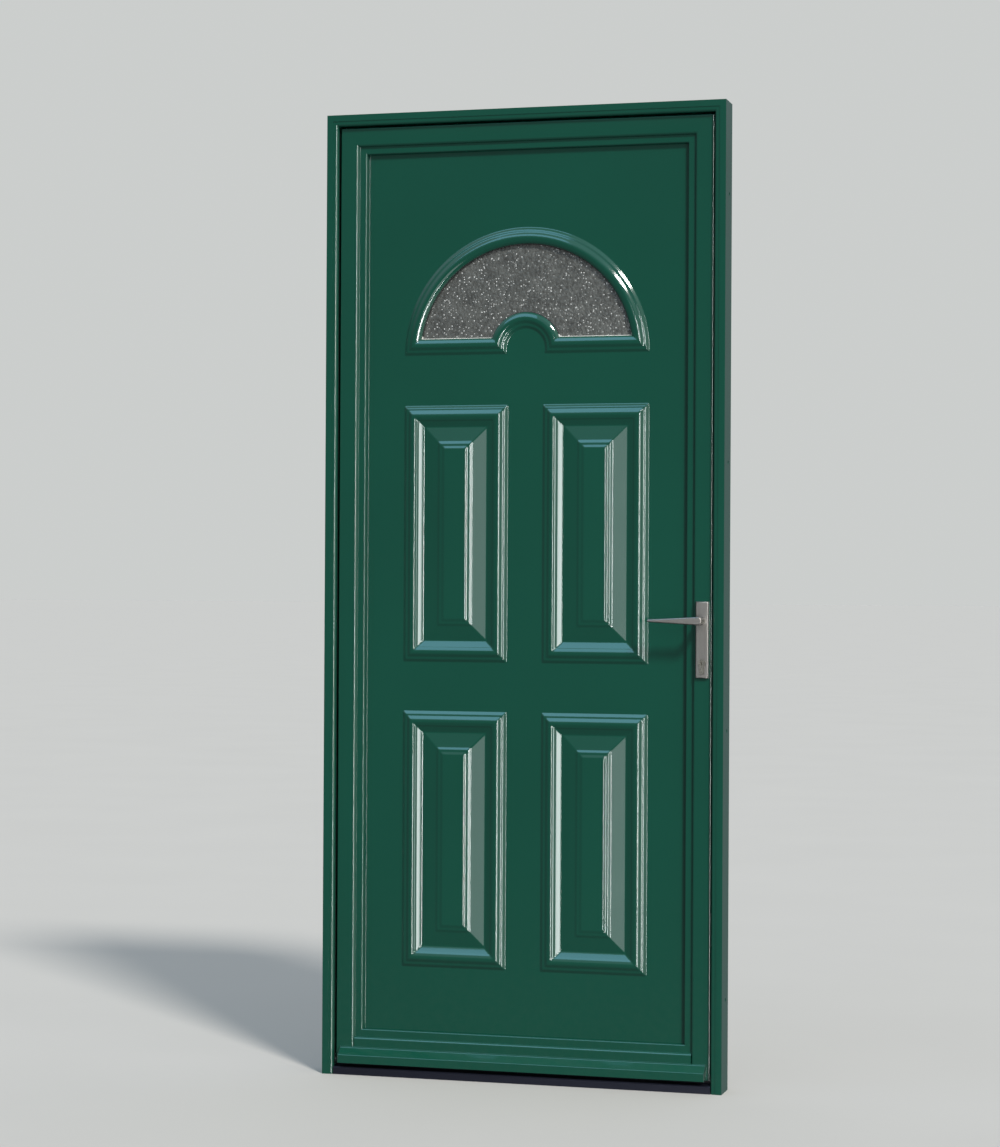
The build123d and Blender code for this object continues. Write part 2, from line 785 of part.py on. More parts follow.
# Moulded panel: outer skin, foam core and inner skin, with the glass unit in its arched window
glass_edge = arch_fall[-1][0] - glass_overlap
skin_back = panel_out + skin
core_back = panel_in - skin


def panel_plate(y_low, y_high):
    """Flat rectangular layer of the panel."""
    box_between((-panel_half, y_low, panel_bottom), (panel_half, y_high, panel_top))


with BuildPart() as panel_outer_skin:
    panel_plate(panel_out, skin_back)
    relief(arch_outline, arch_rise)
    for row in (0, 1):
        for column in (-1, 1):
            outline = partial(raised_outline, column, row)
            relief(outline, moulding_rise)
            relief(outline, moulding_fall + field_rise[:1], Mode.SUBTRACT)
            relief(outline, field_rise)
    relief(arch_outline, arch_fall, Mode.SUBTRACT)
    window = arch_outline(arch_fall[-1][0], arch_fall[-1][1])
    extrude(window, amount=-(arch_fall[-1][1] + skin), mode=Mode.SUBTRACT)
panel_outer_skin.part.label = "panel_outer_skin"

panel_middle = Plane.XZ.offset(-(panel_out + panel_in) / 2)
with BuildPart() as panel_inner_skin:
    mirror(panel_outer_skin.part, about=panel_middle)
panel_inner_skin.part.label = "panel_inner_skin"

with BuildPart() as panel_core:
    panel_plate(skin_back, core_back)
    hole = arch_outline(glass_edge - glass_gap, -skin)
    extrude(hole, amount=-(core_back - skin_back), mode=Mode.SUBTRACT)
panel_core.part.label = "panel_core"


# Glass unit and its seals, from outside to inside
window_inset = arch_fall[-1][0]
seal_inner = window_inset + seal_show
glass_out = skin_back + seal_thickness
glass_in = core_back - seal_thickness

with BuildPart() as glazing_outer_seal:
    arch_ring(glass_edge, seal_inner, skin_back, glass_out)
glazing_outer_seal.part.label = "glazing_outer_seal"

with BuildPart() as outer_glass:
    extrude(arch_outline(glass_edge, panel_out - glass_out - glass), amount=glass)
outer_glass.part.label = "outer_glass"

with BuildPart() as glass_spacer:
    arch_ring(glass_edge, glass_edge + spacer_width, glass_out + glass, glass_in - glass)
glass_spacer.part.label = "glass_spacer"

with BuildPart() as inner_glass:
    extrude(arch_outline(glass_edge, panel_out - glass_in), amount=glass)
inner_glass.part.label = "inner_glass"

with BuildPart() as glazing_inner_seal:
    arch_ring(glass_edge, seal_inner, glass_in, core_back)
glazing_inner_seal.part.label = "glazing_inner_seal"

# Gaskets that grip the panel, and the beads that hold it from inside
gasket_inner_edge = lip_width - gasket_inset
gasket_outer_edge = gasket_inner_edge - gasket_grip

with BuildPart() as outer_panel_gasket:
    infill_ring(gasket_outer_edge, gasket_inner_edge, lip_back, panel_out)
outer_panel_gasket.part.label = "outer_panel_gasket"

with BuildPart() as inner_panel_gasket:
    infill_ring(gasket_outer_edge, gasket_inner_edge, panel_in, bead_out)
inner_panel_gasket.part.label = "inner_panel_gasket"

bead_left = Plane(origin=(-infill_half, bead_out, infill_bottom), x_dir=(1, 0, 0), z_dir=(0, 0, 1))
bead_right = Plane(origin=(infill_half, bead_out, infill_top), x_dir=(-1, 0, 0), z_dir=(0, 0, -1))
bead_upper = Plane(origin=(-infill_half, bead_out, infill_top), x_dir=(0, 0, -1), z_dir=(1, 0, 0))
bead_lower = Plane(origin=(infill_half, bead_out, infill_bottom), x_dir=(0, 0, 1), z_dir=(-1, 0, 0))
upper_left = rising_to_the_right(-infill_half, infill_top)
upper_right = rising_to_the_left(infill_half, infill_top)
lower_left = rising_to_the_left(-infill_half, infill_bottom)
lower_right = rising_to_the_right(infill_half, infill_bottom)

with BuildPart() as bead_hinge_side:
    extrude(bead_section(bead_left), amount=infill_top - infill_bottom)
    split(bisect_by=upper_left, keep=Keep.BOTTOM)
    split(bisect_by=lower_left, keep=Keep.TOP)
bead_hinge_side.part.label = "bead_hinge_side"

with BuildPart() as bead_lock_side:
    extrude(bead_section(bead_right), amount=infill_top - infill_bottom)
    split(bisect_by=upper_right, keep=Keep.BOTTOM)
    split(bisect_by=lower_right, keep=Keep.TOP)
bead_lock_side.part.label = "bead_lock_side"

with BuildPart() as bead_top:
    extrude(bead_section(bead_upper), amount=2 * infill_half)
    split(bisect_by=upper_left, keep=Keep.TOP)
    split(bisect_by=upper_right, keep=Keep.TOP)
bead_top.part.label = "bead_top"

with BuildPart() as bead_bottom:
    extrude(bead_section(bead_lower), amount=2 * infill_half)
    split(bisect_by=lower_left, keep=Keep.BOTTOM)
    split(bisect_by=lower_right, keep=Keep.BOTTOM)
bead_bottom.part.label = "bead_bottom"

# Hinges
bush_radius = pin_radius + running_gap + bush_wall


def knuckle(low, high, bore):
    """One hinge barrel between two heights, with its bore."""
    with BuildSketch(Plane.XY.offset(low)) as barrel:
        with Locations((hinge_x, hinge_y)):
            Circle(hinge_radius)
    extrude(barrel.sketch, amount=high - low)
    with BuildSketch(Plane.XY.offset(low)) as hole:
        with Locations((hinge_x, hinge_y)):
            Circle(bore)
    extrude(hole.sketch, amount=high - low, mode=Mode.SUBTRACT)


with BuildPart() as hinge_frame_wings:
    for centre in hinge_heights:
        low = centre - hinge_length / 2
        high = centre + hinge_length / 2
        box_between((-half_width, frame_in, low), (wing_edge, wing_top, high))
        for start, end in (
            (low, centre - hinge_knuckle / 2 - knuckle_gap),
            (centre + hinge_knuckle / 2 + knuckle_gap, high),
        ):
            box_between((-half_width, wing_top, start), (wing_edge, hinge_y, end))
            knuckle(start, end, pin_radius + running_gap)
    for height in frame_screw_heights:
        screw_hole_y(wing_screw_x, height, wing_top, -1, wing_top - frame_in)
hinge_frame_wings.part.label = "hinge_frame_wings"

with BuildPart() as hinge_leaf_wings:
    for centre in hinge_heights:
        box_between(
            (plate_start, leaf_in, centre - hinge_length / 2),
            (plate_start + hinge_wing, leaf_in + hinge_plate, centre + hinge_length / 2),
        )
        box_between(
            (hinge_x + hinge_radius - hinge_web, leaf_in, centre - hinge_knuckle / 2),
            (hinge_x + hinge_radius, hinge_y, centre + hinge_knuckle / 2),
        )
        knuckle(centre - hinge_knuckle / 2, centre + hinge_knuckle / 2, bush_radius)
    for height in leaf_screw_heights:
        screw_hole_y(plate_screw_x, height, leaf_in + hinge_plate, -1, hinge_plate)
hinge_leaf_wings.part.label = "hinge_leaf_wings"

with BuildPart() as hinge_bushes:
    for centre in hinge_heights:
        with BuildSketch(Plane.XY.offset(centre - hinge_knuckle / 2)) as ring:
            with Locations((hinge_x, hinge_y)):
                Circle(bush_radius)
                Circle(pin_radius + running_gap, mode=Mode.SUBTRACT)
        extrude(ring.sketch, amount=hinge_knuckle)
hinge_bushes.part.label = "hinge_bushes"

with BuildPart() as hinge_pins:
    for centre in hinge_heights:
        with BuildSketch(Plane.XY.offset(centre - hinge_length / 2)) as shaft:
            with Locations((hinge_x, hinge_y)):
                Circle(pin_radius)
        extrude(shaft.sketch, amount=hinge_length)
        with BuildSketch(Plane.XY.offset(centre + hinge_length / 2)) as head:
            with Locations((hinge_x, hinge_y)):
                Circle(hinge_radius)
        extrude(head.sketch, amount=pin_head, taper=pin_head_taper)
hinge_pins.part.label = "hinge_pins"

with BuildPart() as frame_wing_screws:
    for height in frame_screw_heights:
        screw_along_y(wing_screw_x, height, wing_top, -1, wing_top - frame_in + screw_length)
frame_wing_screws.part.label = "frame_wing_screws"

with BuildPart() as leaf_wing_screws:
    for height in leaf_screw_heights:
        screw_along_y(plate_screw_x, height, leaf_in + hinge_plate, -1, hinge_plate + screw_length)
leaf_wing_screws.part.label = "leaf_wing_screws"

# Keeps in the lock jamb's rebate
keep_face = rebate_half - keep_thickness


def keep_plate(span, windows):
    """Keep plate between two heights, with a window for each bolt and two screw holes."""
    low, high = span
    box_between((keep_face, keep_y_low, low), (rebate_half, keep_y_high, high))
    for centre, reach in windows:
        box_between(
            (keep_face, window_y_low, centre - reach),
            (rebate_half, window_y_high, centre + reach),
            Mode.SUBTRACT,
        )
    for height in (low + keep_screw_step, high - keep_screw_step):
        screw_hole_x(lock_plane, height, keep_face, 1, keep_thickness)


with BuildPart() as lock_keep:
    keep_plate(keep_spans[0], bolt_windows[:2])
lock_keep.part.label = "lock_keep"

with BuildPart() as bolt_keeps:
    keep_plate(keep_spans[1], bolt_windows[2:3])
    keep_plate(keep_spans[2], bolt_windows[3:])
bolt_keeps.part.label = "bolt_keeps"

with BuildPart() as keep_screws:
    for low, high in keep_spans:
        for height in (low + keep_screw_step, high - keep_screw_step):
            screw_along_x(lock_plane, height, keep_face, 1, keep_thickness + screw_length)
keep_screws.part.label = "keep_screws"

# Lock case, bolt cases and the faceplate along the leaf's edge
case_low_y = lock_plane - case_thickness / 2
case_high_y = lock_plane + case_thickness / 2
rod_right = case_right - rod_gap
rod_left = rod_right - rod_thickness
rod_low_y = lock_plane - rod_width / 2
rod_high_y = lock_plane + rod_width / 2


def sheet_case(low, high):
    """Sheet metal case between two heights, open towards the faceplate."""
    box_between((case_left, case_low_y, low), (case_right, case_high_y, high))
    box_between(
        (case_left + case_wall, case_low_y + case_wall, low + case_wall),
        (case_right, case_high_y - case_wall, high - case_wall),
        Mode.SUBTRACT,
    )


def rod_slot(low, high):
    """Cut the slot that a drive rod passes through in a case's end."""
    box_between(
        (rod_left - rod_gap, rod_low_y - rod_gap, low),
        (case_right, rod_high_y + rod_gap, high),
        Mode.SUBTRACT,
    )


upper_case_low = upper_bolt_z - bolt_case_height / 2
lower_case_high = lower_bolt_z + bolt_case_height / 2

with BuildPart() as lock_case:
    sheet_case(case_bottom, case_top)
    rod_slot(case_bottom, case_bottom + case_wall)
    rod_slot(case_top - case_wall, case_top)
    follower_hole = follower_radius + running_gap
    rod_along_y(handle_x, handle_height, case_low_y, case_high_y, follower_hole, Mode.SUBTRACT)
    cylinder_hole(case_low_y, case_high_y)
lock_case.part.label = "lock_case"

with BuildPart() as upper_bolt_case:
    sheet_case(upper_case_low, upper_bolt_z + bolt_case_height / 2)
    rod_slot(upper_case_low, upper_case_low + case_wall)
upper_bolt_case.part.label = "upper_bolt_case"

with BuildPart() as lower_bolt_case:
    sheet_case(lower_bolt_z - bolt_case_height / 2, lower_case_high)
    rod_slot(lower_case_high - case_wall, lower_case_high)
lower_bolt_case.part.label = "lower_bolt_case"

face_screw_heights = (
    faceplate_low + face_screw_inset,
    lower_bolt_z - bolt_height - face_screw_inset,
    handle_height - bolt_height - face_screw_inset,
    upper_bolt_z + bolt_height + face_screw_inset,
    faceplate_high - face_screw_inset,
)
cylinder_screw_z = cylinder_height_z + cylinder_radius - cylinder_height + cylinder_screw_rise

bolt_slot_width = bolt_thickness + 2 * bolt_slot_gap

with BuildPart() as lock_faceplate:
    box_between((leaf_half - wall, face_low, faceplate_low), (leaf_half, face_high, faceplate_high))
    ends = lock_faceplate.edges().filter_by(Axis.X)
    fillet(ends, faceplate_end_radius)
    for centre, height in (
        (latch_z, latch_height),
        (bolt_z, bolt_height),
        (upper_bolt_z, bolt_height),
        (lower_bolt_z, bolt_height),
    ):
        half_slot = height / 2 + bolt_slot_gap
        box_between(
            (leaf_half - wall, lock_plane - bolt_slot_width / 2, centre - half_slot),
            (leaf_half, lock_plane + bolt_slot_width / 2, centre + half_slot),
            Mode.SUBTRACT,
        )
    for height in face_screw_heights:
        screw_hole_x(lock_plane, height, leaf_half, -1, wall)
    screw_hole_x(lock_plane, cylinder_screw_z, leaf_half, -1, wall)
lock_faceplate.part.label = "lock_faceplate"

with BuildPart() as faceplate_screws:
    for height in face_screw_heights:
        screw_along_x(lock_plane, height, leaf_half, -1, screw_length)
faceplate_screws.part.label = "faceplate_screws"

# Bolts and their drive rods
bolt_end = leaf_half - bolt_slot_gap

with BuildPart() as latch_bolt:
    latch_tip = leaf_half + latch_throw
    latch_left = latch_tip - latch_length
    with BuildSketch(Plane.XY.offset(latch_z - latch_height / 2)) as head:
        with BuildLine():
            Polyline(
                (latch_left, lock_plane - bolt_thickness / 2),
                (leaf_half + latch_shoulder, lock_plane - bolt_thickness / 2),
                (latch_tip, lock_plane + bolt_thickness / 2 - latch_nose),
                (latch_tip, lock_plane + bolt_thickness / 2),
                (latch_left, lock_plane + bolt_thickness / 2),
                close=True,
            )
        make_face()
    extrude(head.sketch, amount=latch_height)
    box_between(
        (latch_left, lock_plane - hook_width, handle_height + hook_above),
        (latch_left + hook_width, lock_plane + hook_width, latch_z - latch_height / 2),
    )
latch_bolt.part.label = "latch_bolt"


def square_bolt(centre):
    """One square-ended bolt, drawn back just behind the faceplate's surface."""
    box_between(
        (bolt_end - bolt_length, lock_plane - bolt_thickness / 2, centre - bolt_height / 2),
        (bolt_end, lock_plane + bolt_thickness / 2, centre + bolt_height / 2),
    )


with BuildPart() as dead_bolt:
    square_bolt(bolt_z)
dead_bolt.part.label = "dead_bolt"

with BuildPart() as auxiliary_bolts:
    square_bolt(upper_bolt_z)
    square_bolt(lower_bolt_z)
auxiliary_bolts.part.label = "auxiliary_bolts"

with BuildPart() as drive_rods:
    box_between(
        (rod_left, rod_low_y, case_top - rod_end - rod_travel),
        (rod_right, rod_high_y, upper_case_low + rod_end),
    )
    box_between(
        (rod_left, rod_low_y, lower_case_high - rod_end - rod_travel),
        (rod_right, rod_high_y, case_bottom + rod_end),
    )
drive_rods.part.label = "drive_rods"

# Lock cylinder
cylinder_out = leaf_out - plate_thickness - cylinder_proud
cylinder_in = leaf_in + plate_thickness + cylinder_proud
cam_low = lock_plane - cam_thickness / 2
cam_high = lock_plane + cam_thickness / 2
cam_sweep = math.hypot(cam_reach, cam_width / 2) + cam_gap

with BuildPart() as cylinder_body:
    extrude(cylinder_outline(cylinder_in, 0), amount=cylinder_in - cylinder_out)
    plug_bore = plug_radius + running_gap
    rod_along_y(handle_x, cylinder_height_z, cylinder_out, cylinder_in, plug_bore, Mode.SUBTRACT)
    rod_along_y(
        handle_x, cylinder_height_z, cam_low - cam_gap, cam_high + cam_gap, cam_sweep, Mode.SUBTRACT
    )
    rod_along_x(
        lock_plane,
        cylinder_screw_z,
        handle_x,
        handle_x + cylinder_web,
        screw_hole,
        Mode.SUBTRACT,
    )
cylinder_body.part.label = "cylinder_body"

with BuildPart() as cylinder_screw:
    screw_along_x(lock_plane, cylinder_screw_z, leaf_half, -1, leaf_half - handle_x)
cylinder_screw.part.label = "cylinder_screw"

with BuildPart() as cylinder_plugs:
    rod_along_y(handle_x, cylinder_height_z, cylinder_out, cam_low - running_gap, plug_radius)
    rod_along_y(handle_x, cylinder_height_z, cam_high + running_gap, cylinder_in, plug_radius)
    for low, high in (
        (cylinder_out, cylinder_out + key_slot_depth),
        (cylinder_in - key_slot_depth, cylinder_in),
    ):
        box_between(
            (handle_x - key_slot_width / 2, low, cylinder_height_z - key_slot_height / 2),
            (handle_x + key_slot_width / 2, high, cylinder_height_z + key_slot_height / 2),
            Mode.SUBTRACT,
        )
cylinder_plugs.part.label = "cylinder_plugs"

with BuildPart() as cylinder_cam:
    rod_along_y(handle_x, cylinder_height_z, cam_low, cam_high, cylinder_radius)
    box_between(
        (handle_x - cam_width / 2, cam_low, cylinder_height_z - cam_reach),
        (handle_x + cam_width / 2, cam_high, cylinder_height_z),
    )
cylinder_cam.part.label = "cylinder_cam"

# Backplates
with BuildPart() as outside_backplate:
    box_between(
        (handle_x - plate_width / 2, leaf_out - plate_thickness, plate_low),
        (handle_x + plate_width / 2, leaf_out, plate_high),
    )
    front = outside_backplate.faces().sort_by(Axis.Y)[0]
    fillet(front.edges(), plate_radius)
    rod_along_y(
        handle_x, handle_height, leaf_out - plate_thickness, leaf_out, neck_radius + neck_gap, Mode.SUBTRACT
    )
    cylinder_hole(leaf_out - plate_thickness, leaf_out)
outside_backplate.part.label = "outside_backplate"

lock_mirror = Plane.XZ.offset(-lock_plane)
with BuildPart() as inside_backplate:
    mirror(outside_backplate.part, about=lock_mirror)
    for height in plate_screw_heights:
        screw_hole_y(handle_x, height, leaf_in + plate_thickness, -1, plate_thickness)
inside_backplate.part.label = "inside_backplate"

with BuildPart() as backplate_screws:
    for height in plate_screw_heights:
        screw_along_y(handle_x, height, leaf_in + plate_thickness, -1, plate_thickness + screw_length)
backplate_screws.part.label = "backplate_screws"

# Levers, spindle and follower
lever_back = leaf_out - plate_thickness - lever_stand_off

with BuildPart() as outside_lever:
    with BuildSketch(across(handle_x, lever_back, handle_height)) as arm:
        Circle(lever_root_radius)
        with Locations((lever_tip_radius - lever_length, 0)):
            Circle(lever_tip_radius)
        make_hull()
    extrude(arm.sketch, amount=lever_thickness)
    rims = outside_lever.faces().filter_by(Axis.Y)
    fillet(rims.edges(), lever_edge_radius)
    rod_along_y(handle_x, handle_height, lever_back - lever_thickness / 2, leaf_out, neck_radius)
    socket = spindle_width / 2 + spindle_gap
    box_between(
        (handle_x - socket, leaf_out - socket_depth - socket_end_gap, handle_height - socket),
        (handle_x + socket, leaf_out, handle_height + socket),
        Mode.SUBTRACT,
    )
outside_lever.part.label = "outside_lever"

with BuildPart() as inside_lever:
    mirror(outside_lever.part, about=lock_mirror)
inside_lever.part.label = "inside_lever"

with BuildPart() as lever_spindle:
    half = spindle_width / 2
    box_between(
        (handle_x - half, leaf_out - socket_depth, handle_height - half),
        (handle_x + half, leaf_in + socket_depth, handle_height + half),
    )
lever_spindle.part.label = "lever_spindle"

with BuildPart() as latch_follower:
    rod_along_y(handle_x, handle_height, case_low_y, case_high_y, follower_radius)
    arm_plane = Plane(
        origin=(handle_x, lock_plane + hook_width, handle_height),
        x_dir=(math.cos(math.radians(follower_lean)), 0, -math.sin(math.radians(follower_lean))),
        z_dir=(0, -1, 0),
    )
    with BuildSketch(arm_plane) as arm:
        Rectangle(follower_arm_width, follower_arm, align=(Align.CENTER, Align.MIN))
    extrude(arm.sketch, amount=2 * hook_width)
    box_between(
        (handle_x - socket, case_low_y, handle_height - socket),
        (handle_x + socket, case_high_y, handle_height + socket),
        Mode.SUBTRACT,
    )
latch_follower.part.label = "latch_follower"

pieces = (
    frame_hinge_jamb,
    frame_lock_jamb,
    frame_head,
    frame_threshold,
    frame_corner_cleats,
    frame_seal,
    lock_keep,
    bolt_keeps,
    keep_screws,
    hinge_frame_wings,
    hinge_pins,
    frame_wing_screws,
    leaf_hinge_stile,
    leaf_lock_stile,
    leaf_top_rail,
    leaf_bottom_rail,
    leaf_corner_cleats,
    weather_bar,
    weather_bar_caps,
    bottom_seal,
    leaf_seal,
    panel_outer_skin,
    panel_core,
    panel_inner_skin,
    outer_glass,
    glass_spacer,
    inner_glass,
    glazing_outer_seal,
    glazing_inner_seal,
    outer_panel_gasket,
    inner_panel_gasket,
    bead_hinge_side,
    bead_lock_side,
    bead_top,
    bead_bottom,
    hinge_leaf_wings,
    hinge_bushes,
    leaf_wing_screws,
    lock_case,
    upper_bolt_case,
    lower_bolt_case,
    lock_faceplate,
    faceplate_screws,
    cylinder_body,
    cylinder_screw,
    outside_backplate,
    inside_backplate,
    backplate_screws,
    outside_lever,
    inside_lever,
    lever_spindle,
    latch_follower,
    latch_bolt,
    cylinder_plugs,
    cylinder_cam,
    dead_bolt,
    auxiliary_bolts,
    drive_rods,
)
for piece in pieces:
    export_step(piece.part, f"parts/{piece.part.label}.step")
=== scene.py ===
"""The looks of a panelled entrance door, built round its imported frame.

Sizes are in metres. X runs to the right seen from outside, the outside faces -Y, and Z runs up.
"""

import json
import math
from collections import Counter
from types import SimpleNamespace

import bpy
from mathutils import Matrix, Vector


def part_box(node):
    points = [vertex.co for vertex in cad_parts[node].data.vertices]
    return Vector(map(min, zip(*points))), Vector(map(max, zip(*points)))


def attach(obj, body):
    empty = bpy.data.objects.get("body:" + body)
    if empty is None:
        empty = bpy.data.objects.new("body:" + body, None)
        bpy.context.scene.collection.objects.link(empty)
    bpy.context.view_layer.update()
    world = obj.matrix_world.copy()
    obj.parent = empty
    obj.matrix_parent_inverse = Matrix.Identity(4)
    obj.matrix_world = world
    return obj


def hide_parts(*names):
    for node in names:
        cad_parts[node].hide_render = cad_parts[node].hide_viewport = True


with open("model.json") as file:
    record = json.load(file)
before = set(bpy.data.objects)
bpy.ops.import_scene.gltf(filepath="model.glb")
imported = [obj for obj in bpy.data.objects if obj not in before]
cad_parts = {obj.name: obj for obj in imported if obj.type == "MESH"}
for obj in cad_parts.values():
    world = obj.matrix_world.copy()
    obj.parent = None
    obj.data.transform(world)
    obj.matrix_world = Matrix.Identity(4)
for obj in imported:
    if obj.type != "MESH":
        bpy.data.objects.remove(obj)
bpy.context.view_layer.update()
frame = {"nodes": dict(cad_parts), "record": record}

bl_info = {
    "name": "Panelled Front Door",
    "version": (1, 0, 0),
    "blender": (4, 5, 0),
    "location": "View3D > Sidebar > Door",
    "description": "Finishes a panelled entrance door in its frame",
    "category": "Object",
}

MM = 0.001

# Points nearer than this count as one place, and doubles within the second are merged
NEAR = 0.02 * MM
MERGE = NEAR / 10

# How far a cutter runs past what it cuts
SLACK = 1.0 * MM

# A face looks along an axis when its normal has more than this share of it
ALONG = 0.9

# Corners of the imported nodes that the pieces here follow
jamb_low, jamb_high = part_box("frame_hinge_jamb")
sill_low, sill_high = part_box("frame_threshold")
stile_low, stile_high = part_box("leaf_hinge_stile")
bar_low, bar_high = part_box("weather_bar")
core_low, core_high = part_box("panel_core")
bead_low, bead_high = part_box("bead_hinge_side")
face_low, face_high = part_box("lock_faceplate")
plate_low, plate_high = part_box("outside_backplate")
case_low, case_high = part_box("lock_case")
plug_low, plug_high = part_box("cylinder_plugs")

caps_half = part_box("weather_bar_caps")[1].x
lever_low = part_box("outside_lever")[0]
lock_plane = (case_low.y + case_high.y) / 2
handle_x = (plate_low.x + plate_high.x) / 2
cylinder_z = (plug_low.z + plug_high.z) / 2


def length(name, millimetres, description):
    """A length that the sidebar shows in the scene's own unit."""
    return bpy.props.FloatProperty(
        name=name, description=description, default=millimetres * MM, unit="LENGTH", precision=5
    )


def angle(name, degrees, description):
    """An angle, shown in degrees."""
    return bpy.props.FloatProperty(
        name=name, description=description, default=math.radians(degrees), subtype="ANGLE"
    )


def colour(name, red, green, blue, description):
    """A colour, as linear red, green and blue."""
    return bpy.props.FloatVectorProperty(
        name=name,
        description=description,
        default=(red, green, blue, 1.0),
        size=4,
        min=0.0,
        max=1.0,
        subtype="COLOR",
    )


def share(name, value, description):
    """A plain number from nought to one."""
    return bpy.props.FloatProperty(
        name=name, description=description, default=value, min=0.0, max=1.0, subtype="FACTOR"
    )


class DoorFrameSizes(bpy.types.PropertyGroup):
    """Section of the frame's jambs and head."""

    face: length("Face", 25, "Width of the frame seen from outside")
    flat: length("Flat", 14, "Width of the outer flat")
    step: length("Step", 1.5, "How far the nose lies behind the outer flat")
    nose_radius: length("Nose radius", 5, "Rounding of the nose")
    nose_depth: length("Nose depth", 13, "Depth of the nose")
    rebate_step: length("Rebate step", 4, "How far the nose stands past the rebate")
    wall: length("Wall", 2.5, "Wall of the extrusion")
    fixing_radius: length("Fixing radius", 4, "Radius of the fixing holes")
    fixing_inset: length("Fixing inset", 200, "First and last fixing hole from the jamb's ends")
    fixings: bpy.props.IntProperty(name="Fixings", description="Fixing holes in a jamb", default=4, min=2)
    bolt_margin: length("Bolt margin", 2, "Clearance round each bolt in the jamb")


class DoorLeafSizes(bpy.types.PropertyGroup):
    """Section of the leaf's stiles and rails, and of the pieces fixed to them."""

    face: length("Face", 42.5, "Width of a stile seen from outside")
    bottom_face: length("Bottom face", 56, "Height of the bottom rail")
    edge_radius: length("Edge radius", 3, "Rounding of the leaf's outer edge")
    inner_radius: length("Inner radius", 6, "Rounding of the edge beside the panel")
    lip_width: length("Lip width", 17, "Width of the lip round the panel")
    lip_drop: length("Lip drop", 8, "How far the lip lies behind the face")
    lip_thickness: length("Lip thickness", 8.5, "Thickness of the lip")
    lip_radius: length("Lip radius", 3, "Rounding of the lip's edge")
    overlap_reach: length("Overlap reach", 15, "How far the leaf laps the frame inside")
    overlap_thickness: length("Overlap thickness", 12, "Thickness of the overlap")
    web: length("Web", 19, "Depth of the front chamber's back wall")
    wall: length("Wall", 2.5, "Wall of the extrusion")
    bead_wall: length("Bead wall", 1.6, "Wall of the inside bead")
    bead_radius: length("Bead radius", 4, "Rounding of the inside bead")
    bar_front: length("Bar front", 18, "Height of the weather bar's front")
    bar_wall: length("Bar wall", 2, "Wall of the weather bar")
    bar_upstand: length("Bar upstand", 3, "Height of the weather bar's top edge above its slope")
    bar_lip_radius: length("Bar lip radius", 0.8, "Rounding of the weather bar's top edge")
    bar_foot_radius: length("Bar foot radius", 1.2, "Rounding between the top edge and the slope")
    bar_crease_radius: length("Bar crease radius", 2, "Rounding between the slope and the front")
    bar_edge_radius: length("Bar edge radius", 0.5, "Rounding of the front's lower edges")
    cap_radius: length("Cap radius", 0.6, "Rounding of the weather bar's end caps")
    sill_wall: length("Threshold wall", 2, "Wall of the threshold")
    sill_front: length("Threshold front", 17, "Height of the threshold's front")
    groove: length("Groove", 5, "Depth of the drain groove")
    groove_width: length("Groove width", 12, "Width of the drain groove")


class DoorPanelSizes(bpy.types.PropertyGroup):
    """Layout of the pressed panel."""

    side_margin: length("Side margin", 87.5, "From the lip to the mouldings")
    column_gap: length("Column gap", 80, "Between the two columns of raised panels")
    bottom_margin: length("Bottom margin", 143, "From the lip to the lower raised panels")
    row_gap: length("Row gap", 110, "Between the two rows of raised panels")
    arch_gap: length("Arch gap", 113, "From the upper raised panels to the window")
    arch_drop: length("Arch drop", 512, "From the leaf's top to the window's base")
    notch_radius: length("Notch radius", 44, "Radius of the notch in the window's base")
    notch_rise: length("Notch rise", 12, "Height of the notch's centre above the base")
    skin: length("Skin", 2, "Thickness of the pressed skin")
    soften: length("Soften", 1.5, "How far each crease of the relief is eased")
    margin: length("Margin", 2, "Flat rim round each moulding")
    mitre: length("Mitre", 2.4, "Easing of the mouldings' corners")


